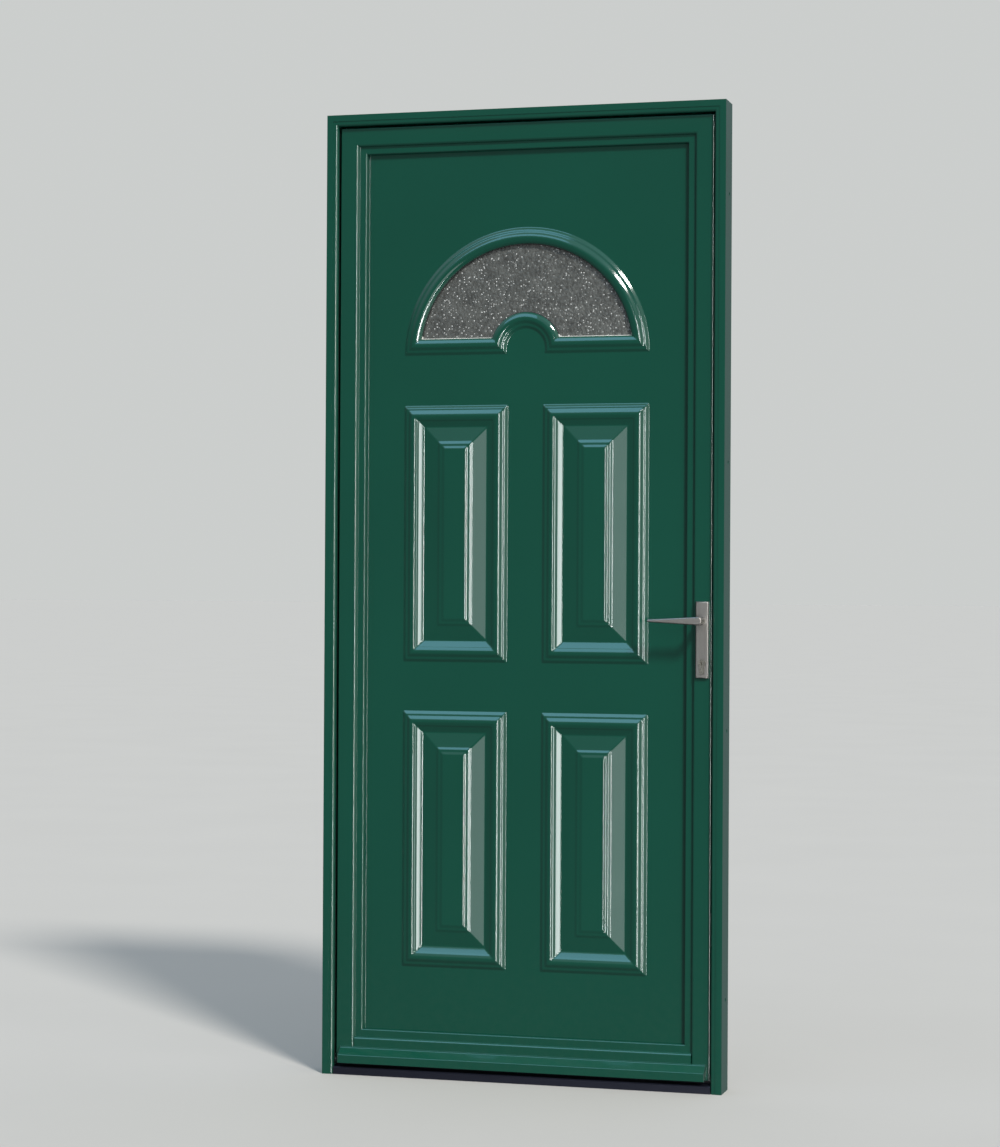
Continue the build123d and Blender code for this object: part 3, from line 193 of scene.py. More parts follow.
class DoorHandleSizes(bpy.types.PropertyGroup):
    """Levers, backplates, lock, hinges and screws."""

    lever_root: length("Lever root", 9, "Radius of the lever's root")
    lever_tip: length("Lever tip", 3, "Radius of the lever's tip")
    lever_thickness: length("Lever thickness", 11, "Thickness of the lever's arm")
    lever_edge: length("Lever edge", 2.5, "Rounding of the lever's rims")
    lever_height: length("Lever height", 1022, "Height of the spindle above the floor")
    neck: length("Neck", 8, "Radius of the lever's neck")
    neck_gap: length("Neck gap", 0.3, "Clearance round the neck in the backplate")
    socket: length("Socket", 4.1, "Half the width of the spindle's socket")
    socket_depth: length("Socket depth", 37, "Depth of the spindle's socket")
    plate_edge: length("Plate edge", 2, "Rounding of the backplate's front")
    cylinder_radius: length("Cylinder radius", 8.5, "Radius of the lock cylinder")
    cylinder_web: length("Cylinder web", 10, "Width of the lock cylinder's web")
    cylinder_height: length("Cylinder height", 33, "Height of the lock cylinder")
    cylinder_gap: length("Cylinder gap", 0.5, "Clearance round the lock cylinder")
    follower: length("Follower hole", 10, "Radius of the hole in the stile at the spindle")
    faceplate_end: length("Faceplate end", 11, "Rounding of the faceplate's ends")
    latch_head: length("Latch head", 18, "Height of the latch's head")
    bolt_gap: length("Bolt gap", 0.3, "Clearance round the latch and the bolts in the faceplate")
    hinge_radius: length("Hinge radius", 9, "Radius of the hinge's barrel")
    hinge_pin: length("Hinge pin", 5, "Radius of the hinge's pin")
    pin_cap_radius: length("Pin cap radius", 1.2, "Rounding of the cap on the pin")
    hinge_bush: length("Hinge bush", 1.5, "Wall of the hinge's bush")
    bush_radius: length("Bush radius", 0.5, "Rounding of the bush's ends")
    hinge_length: length("Hinge length", 100, "Length of the hinge's barrel")
    hinge_knuckle: length("Hinge knuckle", 42, "Length of the leaf's knuckle")
    hinge_gap: length("Hinge gap", 0.3, "Gap between knuckles")
    hinge_clearance: length("Hinge clearance", 0.1, "Running clearance on the pin")
    hinge_plate: length("Hinge plate", 4, "Thickness of the leaf wing")
    hinge_web: length("Hinge web", 4, "Thickness of the wing's web")
    leaf_wing: length("Leaf wing", 34, "Width of the leaf wing")
    wing_width: length("Wing width", 11.5, "Width of the frame wing")
    wing_clearance: length("Wing clearance", 1, "From the frame wing to the leaf's knuckle")
    screw_head: length("Screw head", 3.6, "Radius of a screw's head")
    screw_shank: length("Screw shank", 2.2, "Radius of a screw's shank")
    screw_rise: length("Screw rise", 2.4, "Height of a countersunk head")
    screw_edge: length("Screw edge", 0.15, "Rounding of a screw's head")
    screw_gap: length("Screw gap", 0.1, "Clearance round a screw")
    screw_sink: length("Screw sink", 4, "Depth of the faceplate's screw holes")
    recess_reach: length("Recess reach", 2, "Half the length of a cross recess's arms")
    recess_half: length("Recess half width", 0.45, "Half the width of a cross recess's arms")
    recess_depth: length("Recess depth", 1.1, "Depth of a cross recess")
    recess_foot: share("Recess foot", 0.6, "Size of a cross recess's foot against its mouth")


class DoorFinishes(bpy.types.PropertyGroup):
    """Colours of the finishes, and where dust lies."""

    paint: colour("Paint", 0.0025, 0.066, 0.041, "Glossy green of the metal")
    dust: colour("Dust", 0.36, 0.33, 0.27, "Dust near the floor")
    dusting: share("Dusting", 0.015, "How much dust lies near the floor")
    sill: colour("Threshold", 0.02, 0.021, 0.034, "Dark anodised threshold")
    aluminium: colour("Aluminium", 0.62, 0.62, 0.63, "Plain aluminium")
    plastic: colour("Plastic", 0.006, 0.05, 0.033, "End caps of the weather bar")
    rubber: colour("Rubber", 0.014, 0.014, 0.015, "Seals and gaskets")
    # Painted light and shade on the glazing seal: this pale colour only along its base, as if lit, and the
    # rubber's dark colour above it as painted shade
    pale_seal: colour("Glazing seal", 0.8, 0.79, 0.75, "Dusty foot of the seal round the glass")
    seal_lit_height: length("Seal dust", 13, "Height of the dust on the seal round the glass")
    seal_fade: length("Seal fade", 2, "Height over which that dust thins out")
    foam: colour("Foam", 0.72, 0.62, 0.36, "Insulating core")
    glass: colour("Glass", 0.09, 0.094, 0.088, "Cast glass")
    # Painted glints: this bright colour is painted in spots on the cast glass to stand in for sparkles of
    # light
    painted_glint: colour("Sparkle", 0.8, 0.82, 0.8, "Bright points of the cast glass")
    clear: colour("Clear glass", 0.08, 0.1, 0.095, "Inner pane")
    satin: colour("Satin", 0.25, 0.23, 0.215, "Levers and backplates")
    nickel: colour("Nickel", 0.36, 0.335, 0.29, "Lock cylinder")
    zinc: colour("Zinc", 0.46, 0.47, 0.48, "Steel of the lock and its screws")
    nylon: colour("Nylon", 0.78, 0.77, 0.7, "Hinge bushes")


class DoorStage(bpy.types.PropertyGroup):
    """Camera, floor and lights."""

    right: length("Right", 1615, "Camera's place to the right of the door's centre")
    away: length("Away", 5986, "Camera's distance in front of the door")
    height: length("Height", 1089.5, "Height of the camera")
    yaw: angle("Turn", 15.6, "Turn of the camera's axis to the left")
    tilt: angle("Tilt", 0.31, "Upward tilt of the camera's axis")
    roll: angle("Roll", 0.31, "Roll of the camera")
    lens: bpy.props.FloatProperty(name="Lens", description="Focal length in millimetres", default=87.92)
    floor_size: length("Floor size", 400000, "Width of the floor")
    floor: colour("Floor", 0.6, 0.58, 0.55, "Pale floor, as the camera sees it")
    bounce: colour("Bounce", 0.16, 0.16, 0.16, "The floor, as it lights the door")
    backdrop: colour("Backdrop", 0.6, 0.617, 0.608, "What the camera sees past the floor")
    shade: colour("Shade", 0.13, 0.14, 0.15, "Light from the front and the left")
    above: colour("Above", 0.56, 0.68, 0.8, "Light from above")
    beside: colour("Beside", 0.85, 0.83, 0.8, "Light from the right")


groups = {
    "door_frame": DoorFrameSizes,
    "door_leaf": DoorLeafSizes,
    "door_panel": DoorPanelSizes,
    "door_handle": DoorHandleSizes,
    "door_finish": DoorFinishes,
    "door_stage": DoorStage,
}


# Selecting and shaping

def rest():
    """Leave edit mode with nothing selected."""
    active = bpy.context.view_layer.objects.active
    if active is not None and active.mode != "OBJECT":
        bpy.ops.object.mode_set(mode="OBJECT")
    bpy.ops.object.select_all(action="DESELECT")


def pick(*pieces):
    """Select these objects alone, with the first one active."""
    rest()
    for piece in pieces:
        piece.select_set(True)
    bpy.context.view_layer.objects.active = pieces[0]


def edit_all(piece):
    """Open a piece with all of it selected."""
    pick(piece)
    bpy.ops.object.mode_set(mode="EDIT")
    bpy.ops.mesh.select_mode(type="EDGE")
    bpy.ops.mesh.select_all(action="SELECT")


def close_edit():
    """Go back to object mode."""
    bpy.ops.object.mode_set(mode="OBJECT")


def edit_chosen(piece, kind, chosen):
    """Open a piece with only the chosen edges or faces selected."""
    edit_all(piece)
    bpy.ops.mesh.select_mode(type=kind)
    bpy.ops.mesh.select_all(action="DESELECT")
    close_edit()
    for element in piece.data.edges if kind == "EDGE" else piece.data.polygons:
        element.select = chosen(element)
    bpy.ops.object.mode_set(mode="EDIT")


def ends_of(piece, edge):
    """The places of an edge's two ends."""
    return [piece.data.vertices[index].co for index in edge.vertices]


def edit_edges(piece, wanted):
    """Open a piece with only the edges selected whose ends are wanted."""
    edit_chosen(piece, "EDGE", lambda edge: wanted(*ends_of(piece, edge)))


def edit_rim(piece, y):
    """Open a piece with only its open edges at a depth selected."""
    face_count = Counter(key for face in piece.data.polygons for key in face.edge_keys)
    level = on_level(1, y)
    edit_chosen(piece, "EDGE", lambda edge: face_count[edge.key] < 2 and level(*ends_of(piece, edge)))


def face_outwards(piece):
    """Merge doubles and turn every face outwards."""
    edit_all(piece)
    bpy.ops.mesh.remove_doubles(threshold=MERGE)
    bpy.ops.mesh.normals_make_consistent(inside=False)
    close_edit()


def set_down(piece):
    """Put the piece's place into its mesh."""
    pick(piece)
    bpy.ops.object.transform_apply(location=True, rotation=True, scale=True)


def newest(name):
    """The object that the last operator added, under its name."""
    piece = bpy.context.object
    piece.name = name
    piece.data.name = name
    return piece


def outline(name, points, fill="NGON"):
    """A closed outline through the points, made from a circle."""
    rest()
    bpy.ops.mesh.primitive_circle_add(vertices=len(points), fill_type=fill)
    piece = newest(name)
    for vertex, point in zip(piece.data.vertices, points):
        vertex.co = point
    return piece


def pull(piece, move):
    """Extrude the whole outline by a move."""
    edit_all(piece)
    bpy.ops.mesh.extrude_region_move(TRANSFORM_OT_translate={"value": move})
    close_edit()


def block(name, low, high):
    """A box between two corners."""
    rest()
    low, high = Vector(low), Vector(high)
    bpy.ops.mesh.primitive_cube_add(size=1, location=(low + high) / 2)
    piece = newest(name)
    piece.scale = high - low
    set_down(piece)
    return piece


def bar(name, start, end, radius, sides=40):
    """A round bar between two points."""
    rest()
    start, end = Vector(start), Vector(end)
    bpy.ops.mesh.primitive_cylinder_add(
        vertices=sides,
        radius=radius,
        depth=(end - start).length,
        location=(start + end) / 2,
        rotation=(end - start).to_track_quat("Z", "Y").to_euler(),
    )
    piece = newest(name)
    set_down(piece)
    return piece


def round_edges(piece, wanted, radius, steps=4):
    """Round the wanted edges."""
    edit_edges(piece, wanted)
    bpy.ops.mesh.bevel(offset=radius, segments=steps, affect="EDGES")
    close_edit()


def on_line(point, direction):
    """A test for edges that lie along a line."""
    axis = Vector(direction).normalized()

    def wanted(first, second):
        return all(((end - point).cross(axis)).length < NEAR for end in (first, second))

    return wanted


def on_level(axis, *levels):
    """A test for edges whose ends both lie at one of the levels along an axis."""

    def wanted(first, second):
        return any(abs(first[axis] - level) < NEAR and abs(second[axis] - level) < NEAR for level in levels)

    return wanted


def saw(piece, point, normal):
    """Cut off what lies on the normal's side of a plane, and close the cut."""
    edit_all(piece)
    bpy.ops.mesh.bisect(plane_co=point, plane_no=normal, use_fill=True, clear_outer=True)
    close_edit()


def combine(piece, tool, operation):
    """Add the tool to the piece, or cut it out."""
    face_outwards(tool)
    face_outwards(piece)
    pick(piece)
    bpy.ops.object.modifier_add(type="BOOLEAN")
    modifier = piece.modifiers[-1]
    modifier.operation = operation
    modifier.solver = "EXACT"
    modifier.object = tool
    bpy.ops.object.modifier_apply(modifier=modifier.name)
    bpy.data.objects.remove(tool)


def join(pieces):
    """Make one object of several."""
    pick(*pieces)
    if len(pieces) > 1:
        bpy.ops.object.join()
    return pieces[0]


def cut(piece, tools):
    """Cut several tools that stand apart out of the piece."""
    combine(piece, join(tools), "DIFFERENCE")


def copy_of(piece, name, matrix):
    """A copy with its own mesh, moved by a matrix."""
    twin = piece.copy()
    twin.data = piece.data.copy()
    twin.name = name
    twin.data.name = name
    bpy.context.scene.collection.objects.link(twin)
    twin.data.transform(matrix)
    return twin


def mirrored(piece, name, y):
    """A copy turned round to the other side of a plane across Y."""
    twin = copy_of(piece, name, Matrix.Translation((0, 2 * y, 0)) @ Matrix.Scale(-1, 4, (0, 1, 0)))
    face_outwards(twin)
    return twin


def hand_over(piece, body, slot, *nodes, angle=28):
    """Finish a piece: creases past an angle, its material, the body it rides on and what it replaces."""
    face_outwards(piece)
    set_down(piece)
    bpy.ops.object.shade_smooth_by_angle(angle=math.radians(angle))
    bpy.ops.object.modifier_add(type="WEIGHTED_NORMAL")
    modifier = piece.modifiers[-1]
    modifier.keep_sharp = True
    bpy.ops.object.modifier_apply(modifier=modifier.name)
    piece.data.materials.clear()
    piece.data.materials.append(bpy.data.materials[slot])
    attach(piece, body)
    if nodes:
        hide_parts(*nodes)
    return piece


def arc(centre, radius, start, end, count):
    """Points along an arc, from one angle to another in so many steps."""
    angles = [start + (end - start) * step / count for step in range(count + 1)]
    return [(centre[0] + radius * math.cos(turn), centre[1] + radius * math.sin(turn)) for turn in angles]


# The most of a stretch that the easing of one of its ends may take
EASED_SHARE = 0.42


def softened(profile, reach):
    """Ease each inner corner of a profile with a short curve."""
    points = [Vector(point) for point in profile]
    soft = [points[0]]
    for before, corner, after in zip(points, points[1:], points[2:]):
        enter = corner + (before - corner).normalized() * min(reach, EASED_SHARE * (before - corner).length)
        leave = corner + (after - corner).normalized() * min(reach, EASED_SHARE * (after - corner).length)
        soft += [enter, (enter + 2 * corner + leave) / 4, leave]
    return soft + [points[-1]]


def solid_boxes(node):
    """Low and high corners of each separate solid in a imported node, from the lowest up."""
    mesh = frame["nodes"][node].data
    keys = {}
    parent = []
    index_of = []
    for vertex in mesh.vertices:
        key = tuple(round(value / NEAR) for value in vertex.co)
        if key not in keys:
            keys[key] = len(parent)
            parent.append(len(parent))
        index_of.append(keys[key])

    def root(item):
        while parent[item] != item:
            parent[item] = parent[parent[item]]
            item = parent[item]
        return item

    for edge in mesh.edges:
        first, second = (root(index_of[index]) for index in edge.vertices)
        parent[first] = second
    clusters = {}
    for vertex in mesh.vertices:
        clusters.setdefault(root(index_of[vertex.index]), []).append(vertex.co)
    boxes = []
    for points in clusters.values():
        low = Vector([min(point[axis] for point in points) for axis in range(3)])
        high = Vector([max(point[axis] for point in points) for axis in range(3)])
        boxes.append((low, high))
    return sorted(boxes, key=lambda box: (box[0].z, box[0].x))


# Helpers for node trees, where made holds the nodes and links of one

def feed(made, value, socket):
    """Give a socket a plain value, or link another socket to it."""
    if isinstance(value, bpy.types.NodeSocket):
        made.links.new(value, socket)
    else:
        socket.default_value = value


def noise(made, place, scale, detail=2.0, roughness=0.5):
    """A noise texture read at a place."""
    texture = made.nodes.new("ShaderNodeTexNoise")
    for label, value in (("Vector", place), ("Scale", scale), ("Detail", detail), ("Roughness", roughness)):
        feed(made, value, texture.inputs[label])
    return texture.outputs["Fac"]


def ramp(made, value, low, high, start, end):
    """Map a value from the span low to high to the span start to end."""
    mapped = made.nodes.new("ShaderNodeMapRange")
    feed(made, value, mapped.inputs["Value"])
    for label, limit in (("From Min", low), ("From Max", high), ("To Min", start), ("To Max", end)):
        feed(made, limit, mapped.inputs[label])
    return mapped.outputs["Result"]


def mixed(made, factor, first, second):
    """Mix two colours by a mask."""
    node = made.nodes.new("ShaderNodeMix")
    node.data_type = "RGBA"
    given = {socket.identifier: socket for socket in node.inputs}
    for label, value in (("Factor_Float", factor), ("A_Color", first), ("B_Color", second)):
        feed(made, value, given[label])
    return next(socket for socket in node.outputs if socket.identifier == "Result_Color")


def maths(made, operation, first, second):
    """One sum of two values."""
    node = made.nodes.new("ShaderNodeMath")
    node.operation = operation
    feed(made, first, node.inputs[0])
    feed(made, second, node.inputs[1])
    return node.outputs["Value"]


# Shared effects, as node groups

def new_group(name, inputs, outputs):
    """An empty node group, with what it is given and what it gives."""
    group = bpy.data.node_groups.new(name, "ShaderNodeTree")
    for label, kind, default in inputs:
        socket = group.interface.new_socket(label, in_out="INPUT", socket_type=kind)
        if default is not None:
            socket.default_value = default
    for label, kind in outputs:
        group.interface.new_socket(label, in_out="OUTPUT", socket_type=kind)
    return SimpleNamespace(
        nodes=group.nodes,
        links=group.links,
        given=group.nodes.new("NodeGroupInput").outputs,
        gives=group.nodes.new("NodeGroupOutput").inputs,
    )


def make_tone_group():
    """Slow changes of brightness and roughness over a surface."""
    made = new_group(
        "Tone",
        (
            ("Place", "NodeSocketVector", None),
            ("Colour", "NodeSocketColor", (0.5, 0.5, 0.5, 1.0)),
            ("Scale", "NodeSocketFloat", 4.0),
            ("Change", "NodeSocketFloat", 0.05),
            ("Smooth", "NodeSocketFloat", 0.2),
            ("Rough", "NodeSocketFloat", 0.3),
        ),
        (("Colour", "NodeSocketColor"), ("Roughness", "NodeSocketFloat")),
    )
    given = made.given
    cloud = noise(made, given["Place"], given["Scale"], 4.0)
    dark = maths(made, "SUBTRACT", 1.0, given["Change"])
    light = maths(made, "ADD", 1.0, given["Change"])
    shade = made.nodes.new("ShaderNodeHueSaturation")
    feed(made, given["Colour"], shade.inputs["Color"])
    feed(made, ramp(made, cloud, 0.3, 0.7, dark, light), shade.inputs["Value"])
    feed(made, shade.outputs["Color"], made.gives["Colour"])
    finer = maths(made, "MULTIPLY", given["Scale"], 2.7)
    patches = noise(made, given["Place"], finer, 5.0, 0.6)
    feed(made, ramp(made, patches, 0.3, 0.7, given["Smooth"], given["Rough"]), made.gives["Roughness"])


def make_peel_group():
    """The fine dimples of a sprayed or moulded surface, on slower waves."""
    made = new_group(
        "Peel",
        (("Place", "NodeSocketVector", None), ("Dimples", "NodeSocketFloat", 400.0)),
        (("Height", "NodeSocketFloat"),),
    )
    given = made.given
    dimples = noise(made, given["Place"], given["Dimples"], 1.0)
    waves = noise(made, given["Place"], maths(made, "MULTIPLY", given["Dimples"], 0.12), 1.0)
    feed(made, maths(made, "ADD", dimples, waves), made.gives["Height"])


def make_grain_group():
    """Fine lines of brushing along one direction."""
    made = new_group(
        "Grain",
        (
            ("Place", "NodeSocketVector", None),
            ("Stretch", "NodeSocketVector", (1.0, 1.0, 0.02)),
            ("Lines", "NodeSocketFloat", 2500.0),
            ("Smooth", "NodeSocketFloat", 0.25),
            ("Rough", "NodeSocketFloat", 0.42),
        ),
        (("Height", "NodeSocketFloat"), ("Roughness", "NodeSocketFloat")),
    )
    given = made.given
    drawn = made.nodes.new("ShaderNodeVectorMath")
    drawn.operation = "MULTIPLY"
    feed(made, given["Place"], drawn.inputs[0])
    feed(made, given["Stretch"], drawn.inputs[1])
    lines = noise(made, drawn.outputs["Vector"], given["Lines"], 3.0, 0.65)
    feed(made, lines, made.gives["Height"])
    feed(made, ramp(made, lines, 0.3, 0.7, given["Smooth"], given["Rough"]), made.gives["Roughness"])


def make_dust_group():
    """Dust that lies thickest near the floor and thins out upwards."""
    made = new_group(
        "Dust",
        (
            ("Place", "NodeSocketVector", None),
            ("Height", "NodeSocketFloat", 0.35),
            ("Amount", "NodeSocketFloat", 0.1),
        ),
        (("Mask", "NodeSocketFloat"),),
    )
    given = made.given
    parts = made.nodes.new("ShaderNodeSeparateXYZ")
    feed(made, given["Place"], parts.inputs["Vector"])
    fall = ramp(made, parts.outputs["Z"], 0.0, given["Height"], 1.0, 0.0)
    specks = noise(made, given["Place"], 55.0, 6.0, 0.7)
    mask = maths(made, "MULTIPLY", fall, ramp(made, specks, 0.4, 0.65, 0.25, 1.0))
    feed(made, maths(made, "MULTIPLY", mask, given["Amount"]), made.gives["Mask"])


# Materials

def start_material(name):
    """A fresh material in place of a packed one, with its nodes, its shader and the place on a piece."""
    packed = bpy.data.materials.get(name)
    if packed is not None:
        bpy.data.materials.remove(packed)
    material = bpy.data.materials.new(name)
    material.use_nodes = True
    nodes = material.node_tree.nodes
    place = nodes.new("ShaderNodeTexCoord").outputs["Object"]
    return SimpleNamespace(
        nodes=nodes, links=material.node_tree.links, shader=nodes["Principled BSDF"], place=place
    )


def use_group(made, name, **values):
    """Put a shared effect in a material with its own values."""
    node = made.nodes.new("ShaderNodeGroup")
    node.node_tree = bpy.data.node_groups[name]
    feed(made, made.place, node.inputs["Place"])
    for label, value in values.items():
        feed(made, value, node.inputs[label])
    return node.outputs


def shade_with(made, sockets):
    """Give the shader's sockets, by their labels, a value or a link each."""
    for label, value in sockets.items():
        feed(made, value, made.shader.inputs[label])


def bump(made, height, strength, depth):
    """Feed a height to the shader's normal."""
    node = made.nodes.new("ShaderNodeBump")
    for label, value in (("Height", height), ("Strength", strength), ("Distance", depth)):
        feed(made, value, node.inputs[label])
    feed(made, node.outputs["Normal"], made.shader.inputs["Normal"])


def make_green_paint(finish):
    """Glossy sprayed coat on the metal, with a breath of dust near the floor."""
    made = start_material("green_paint")
    tone = use_group(made, "Tone", Colour=finish.paint, Scale=2.2, Change=0.05, Smooth=0.07, Rough=0.11)
    dust = use_group(made, "Dust", Height=0.45, Amount=finish.dusting)
    sockets = {
        "Base Color": mixed(made, dust["Mask"], tone["Colour"], finish.dust),
        "Roughness": maths(made, "ADD", tone["Roughness"], dust["Mask"]),
        "Coat Weight": 0.6,
        "Coat Roughness": 0.03,
        "IOR": 1.5,
    }
    shade_with(made, sockets)
    bump(made, use_group(made, "Peel", Dimples=420.0)["Height"], strength=0.03, depth=0.15 * MM)


def make_metal(name, tint, smooth, rough, lines, stretch, metallic, change):
    """Bare or plated metal with a drawn or brushed grain."""
    made = start_material(name)
    tone = use_group(made, "Tone", Colour=tint, Scale=9.0, Change=change, Smooth=smooth, Rough=rough)
    grain = use_group(made, "Grain", Lines=lines, Stretch=stretch, Smooth=smooth, Rough=rough)
    sockets = {"Base Color": tone["Colour"], "Roughness": grain["Roughness"], "Metallic": metallic}
    shade_with(made, sockets)
    bump(made, grain["Height"], strength=0.35, depth=0.02 * MM)


def make_soft(name, tint, smooth, rough, dimples, depth, change):
    """Rubber, plastic or foam with a fine moulded surface."""
    made = start_material(name)
    tone = use_group(made, "Tone", Colour=tint, Scale=14.0, Change=change, Smooth=smooth, Rough=rough)
    shade_with(made, {"Base Color": tone["Colour"], "Roughness": tone["Roughness"]})
    bump(made, use_group(made, "Peel", Dimples=dimples)["Height"], strength=0.5, depth=depth)


def make_glazing_seal(finish):
    """Seal round the glass, with light and shade painted into its colour: pale along its base, dark above.
    """
    made = start_material("pale_seal")
    parts = made.nodes.new("ShaderNodeSeparateXYZ")
    feed(made, made.place, parts.inputs["Vector"])
    # Painted light and shade: pale at the seal's foot, dark rubber colour above the given height
    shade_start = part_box("glazing_outer_seal")[0].z + finish.seal_lit_height
    base = ramp(made, parts.outputs["Z"], shade_start, shade_start + finish.seal_fade, 1.0, 0.0)
    tone = use_group(made, "Tone", Colour=finish.pale_seal, Scale=14.0, Change=0.08, Smooth=0.5, Rough=0.7)
    lit_foot_and_shade = mixed(made, base, finish.rubber, tone["Colour"])
    shade_with(made, {"Base Color": lit_foot_and_shade, "Roughness": tone["Roughness"]})
    bump(made, use_group(made, "Peel", Dimples=1400.0)["Height"], strength=0.5, depth=0.1 * MM)


def make_textured_glass(finish):
    """Cast glass: a pebbled face that breaks the light into small sparkles, with white glints also painted
    into its colour.
    """
    made = start_material("textured_glass")
    cells = made.nodes.new("ShaderNodeTexVoronoi")
    cells.feature = "F1"
    cells.inputs["Scale"].default_value = 175.0
    feed(made, made.place, cells.inputs["Vector"])
    chance = made.nodes.new("ShaderNodeSeparateColor")
    feed(made, cells.outputs["Color"], chance.inputs["Color"])
    # Painted glints: white spots in random cells of the colour that stand in for sparkles of light
    bright = ramp(made, chance.outputs["Red"], 0.2, 0.85, 0.0, 1.0)
    spot = ramp(made, cells.outputs["Distance"], 0.16, 0.3, 1.0, 0.0)
    painted_glints = maths(made, "MULTIPLY", bright, spot)
    drawn = made.nodes.new("ShaderNodeMapping")
    drawn.inputs["Scale"].default_value = (1.0, 1.0, 0.65)
    feed(made, made.place, drawn.inputs["Vector"])
    streaks = noise(made, drawn.outputs["Vector"], 160.0, 3.0)
    pebbles = maths(made, "ADD", cells.outputs["Distance"], streaks)
    haze = ramp(made, noise(made, made.place, 26.0, 5.0), 0.35, 0.65, 0.8, 1.25)
    blotches = ramp(made, streaks, 0.3, 0.7, 0.75, 1.25)
    shade = made.nodes.new("ShaderNodeHueSaturation")
    feed(made, finish.glass, shade.inputs["Color"])
    feed(made, maths(made, "MULTIPLY", haze, blotches), shade.inputs["Value"])
    sockets = {
        "Base Color": mixed(made, painted_glints, shade.outputs["Color"], finish.painted_glint),
        "Roughness": ramp(made, streaks, 0.3, 0.7, 0.2, 0.34),
        "Transmission Weight": 0.05,
        "IOR": 1.5,
    }
    shade_with(made, sockets)
    bump(made, pebbles, strength=0.3, depth=2.0 * MM)


def make_clear_glass(finish):
    """Plain inner pane, with faint smears."""
    made = start_material("clear_glass")
    tone = use_group(made, "Tone", Colour=finish.clear, Scale=6.0, Change=0.1, Smooth=0.02, Rough=0.08)
    sockets = {
        "Base Color": tone["Colour"],
        "Roughness": tone["Roughness"],
        "Transmission Weight": 0.3,
        "IOR": 1.5,
    }
    shade_with(made, sockets)


class DOOR_OT_finishes(bpy.types.Operator):
    """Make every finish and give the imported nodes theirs"""

    bl_idname = "door.finishes"
    bl_label = "Finishes"

    def execute(self, context):
        finish = context.scene.door_finish
        make_tone_group()
        make_peel_group()
        make_grain_group()
        make_dust_group()
        upright = (1.0, 1.0, 0.02)
        across = (0.02, 1.0, 1.0)
        # Name, colour, least and most roughness, fineness and run of grain, metallic share, change of tone
        metals = (
            ("dark_anodised", finish.sill, 0.3, 0.45, 1800.0, across, 0.7, 0.05),
            ("mill_aluminium", finish.aluminium, 0.3, 0.5, 2200.0, upright, 1.0, 0.05),
            ("satin_handle", finish.satin, 0.28, 0.42, 3200.0, across, 1.0, 0.05),
            ("nickel_brass", finish.nickel, 0.2, 0.34, 3600.0, across, 1.0, 0.05),
            ("zinc_steel", finish.zinc, 0.24, 0.42, 1500.0, upright, 1.0, 0.12),
        )
        # Name, colour, least and most roughness, fineness and depth of the dimples, change of tone
        softs = (
            ("dark_plastic", finish.plastic, 0.35, 0.5, 900.0, 0.1 * MM, 0.08),
            ("black_rubber", finish.rubber, 0.5, 0.72, 1400.0, 0.1 * MM, 0.08),
            ("foam", finish.foam, 0.8, 0.95, 500.0, 0.6 * MM, 0.14),
            ("nylon", finish.nylon, 0.35, 0.5, 1100.0, 0.05 * MM, 0.08),
        )
        for row in metals:
            make_metal(*row)
        for row in softs:
            make_soft(*row)
        for make in (make_green_paint, make_glazing_seal, make_textured_glass, make_clear_glass):
            make(finish)
        for row in frame["record"]["subparts"]:
            node = frame["nodes"][row["node"]]
            node.data.materials.clear()
            node.data.materials.append(bpy.data.materials[row["material_slot"]])
        return {"FINISHED"}


# Frame

def section_bar(name, corners, place, run, rounds=(), hollows=()):
    """A straight length of a section, with its edges rounded and its chambers cut."""
    piece = outline(name, [place(u, v) for u, v in corners])
    pull(piece, run)
    face_outwards(piece)
    for (u, v), radius in rounds:
        round_edges(piece, on_line(place(u, v), run), radius)
    chambers = []
    margin = Vector(run).normalized() * SLACK
    for u_low, v_low, u_high, v_high in hollows:
        sides = ((u_low, v_low), (u_high, v_low), (u_high, v_high), (u_low, v_high))
        chamber = outline("chamber", [place(u, v) - margin for u, v in sides])
        pull(chamber, Vector(run) + 2 * margin)
        chambers.append(chamber)
    if chambers:
        cut(piece, chambers)
    return piece


def frame_bar(name, place, run):
    """One member of the frame."""
    size = bpy.context.scene.door_frame
    depth = jamb_high.y - jamb_low.y
    rebate = size.face - size.rebate_step
    corners = (
        (0, 0),
        (size.flat, 0),
        (size.flat, size.step),
        (size.face, size.step),
        (size.face, size.nose_depth),
        (rebate, size.nose_depth),
        (rebate, depth),
        (0, depth),
    )
    rounds = (((size.face, size.step), size.nose_radius),)
    hollows = (
        (size.wall, size.step + size.wall, rebate - size.wall, size.nose_depth - size.wall),
        (size.wall, size.nose_depth, rebate - size.wall, depth - size.wall),
    )
    return section_bar(name, corners, place, run, rounds, hollows)


def bolt_boxes():
    """Low and high corners of the three bolts and of the latch's head."""
    latch_low, latch_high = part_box("latch_bolt")
    head = bpy.context.scene.door_handle.latch_head
    head_low = Vector((latch_low.x, latch_low.y, latch_high.z - head))
    return solid_boxes("dead_bolt") + solid_boxes("auxiliary_bolts") + [(head_low, latch_high)]


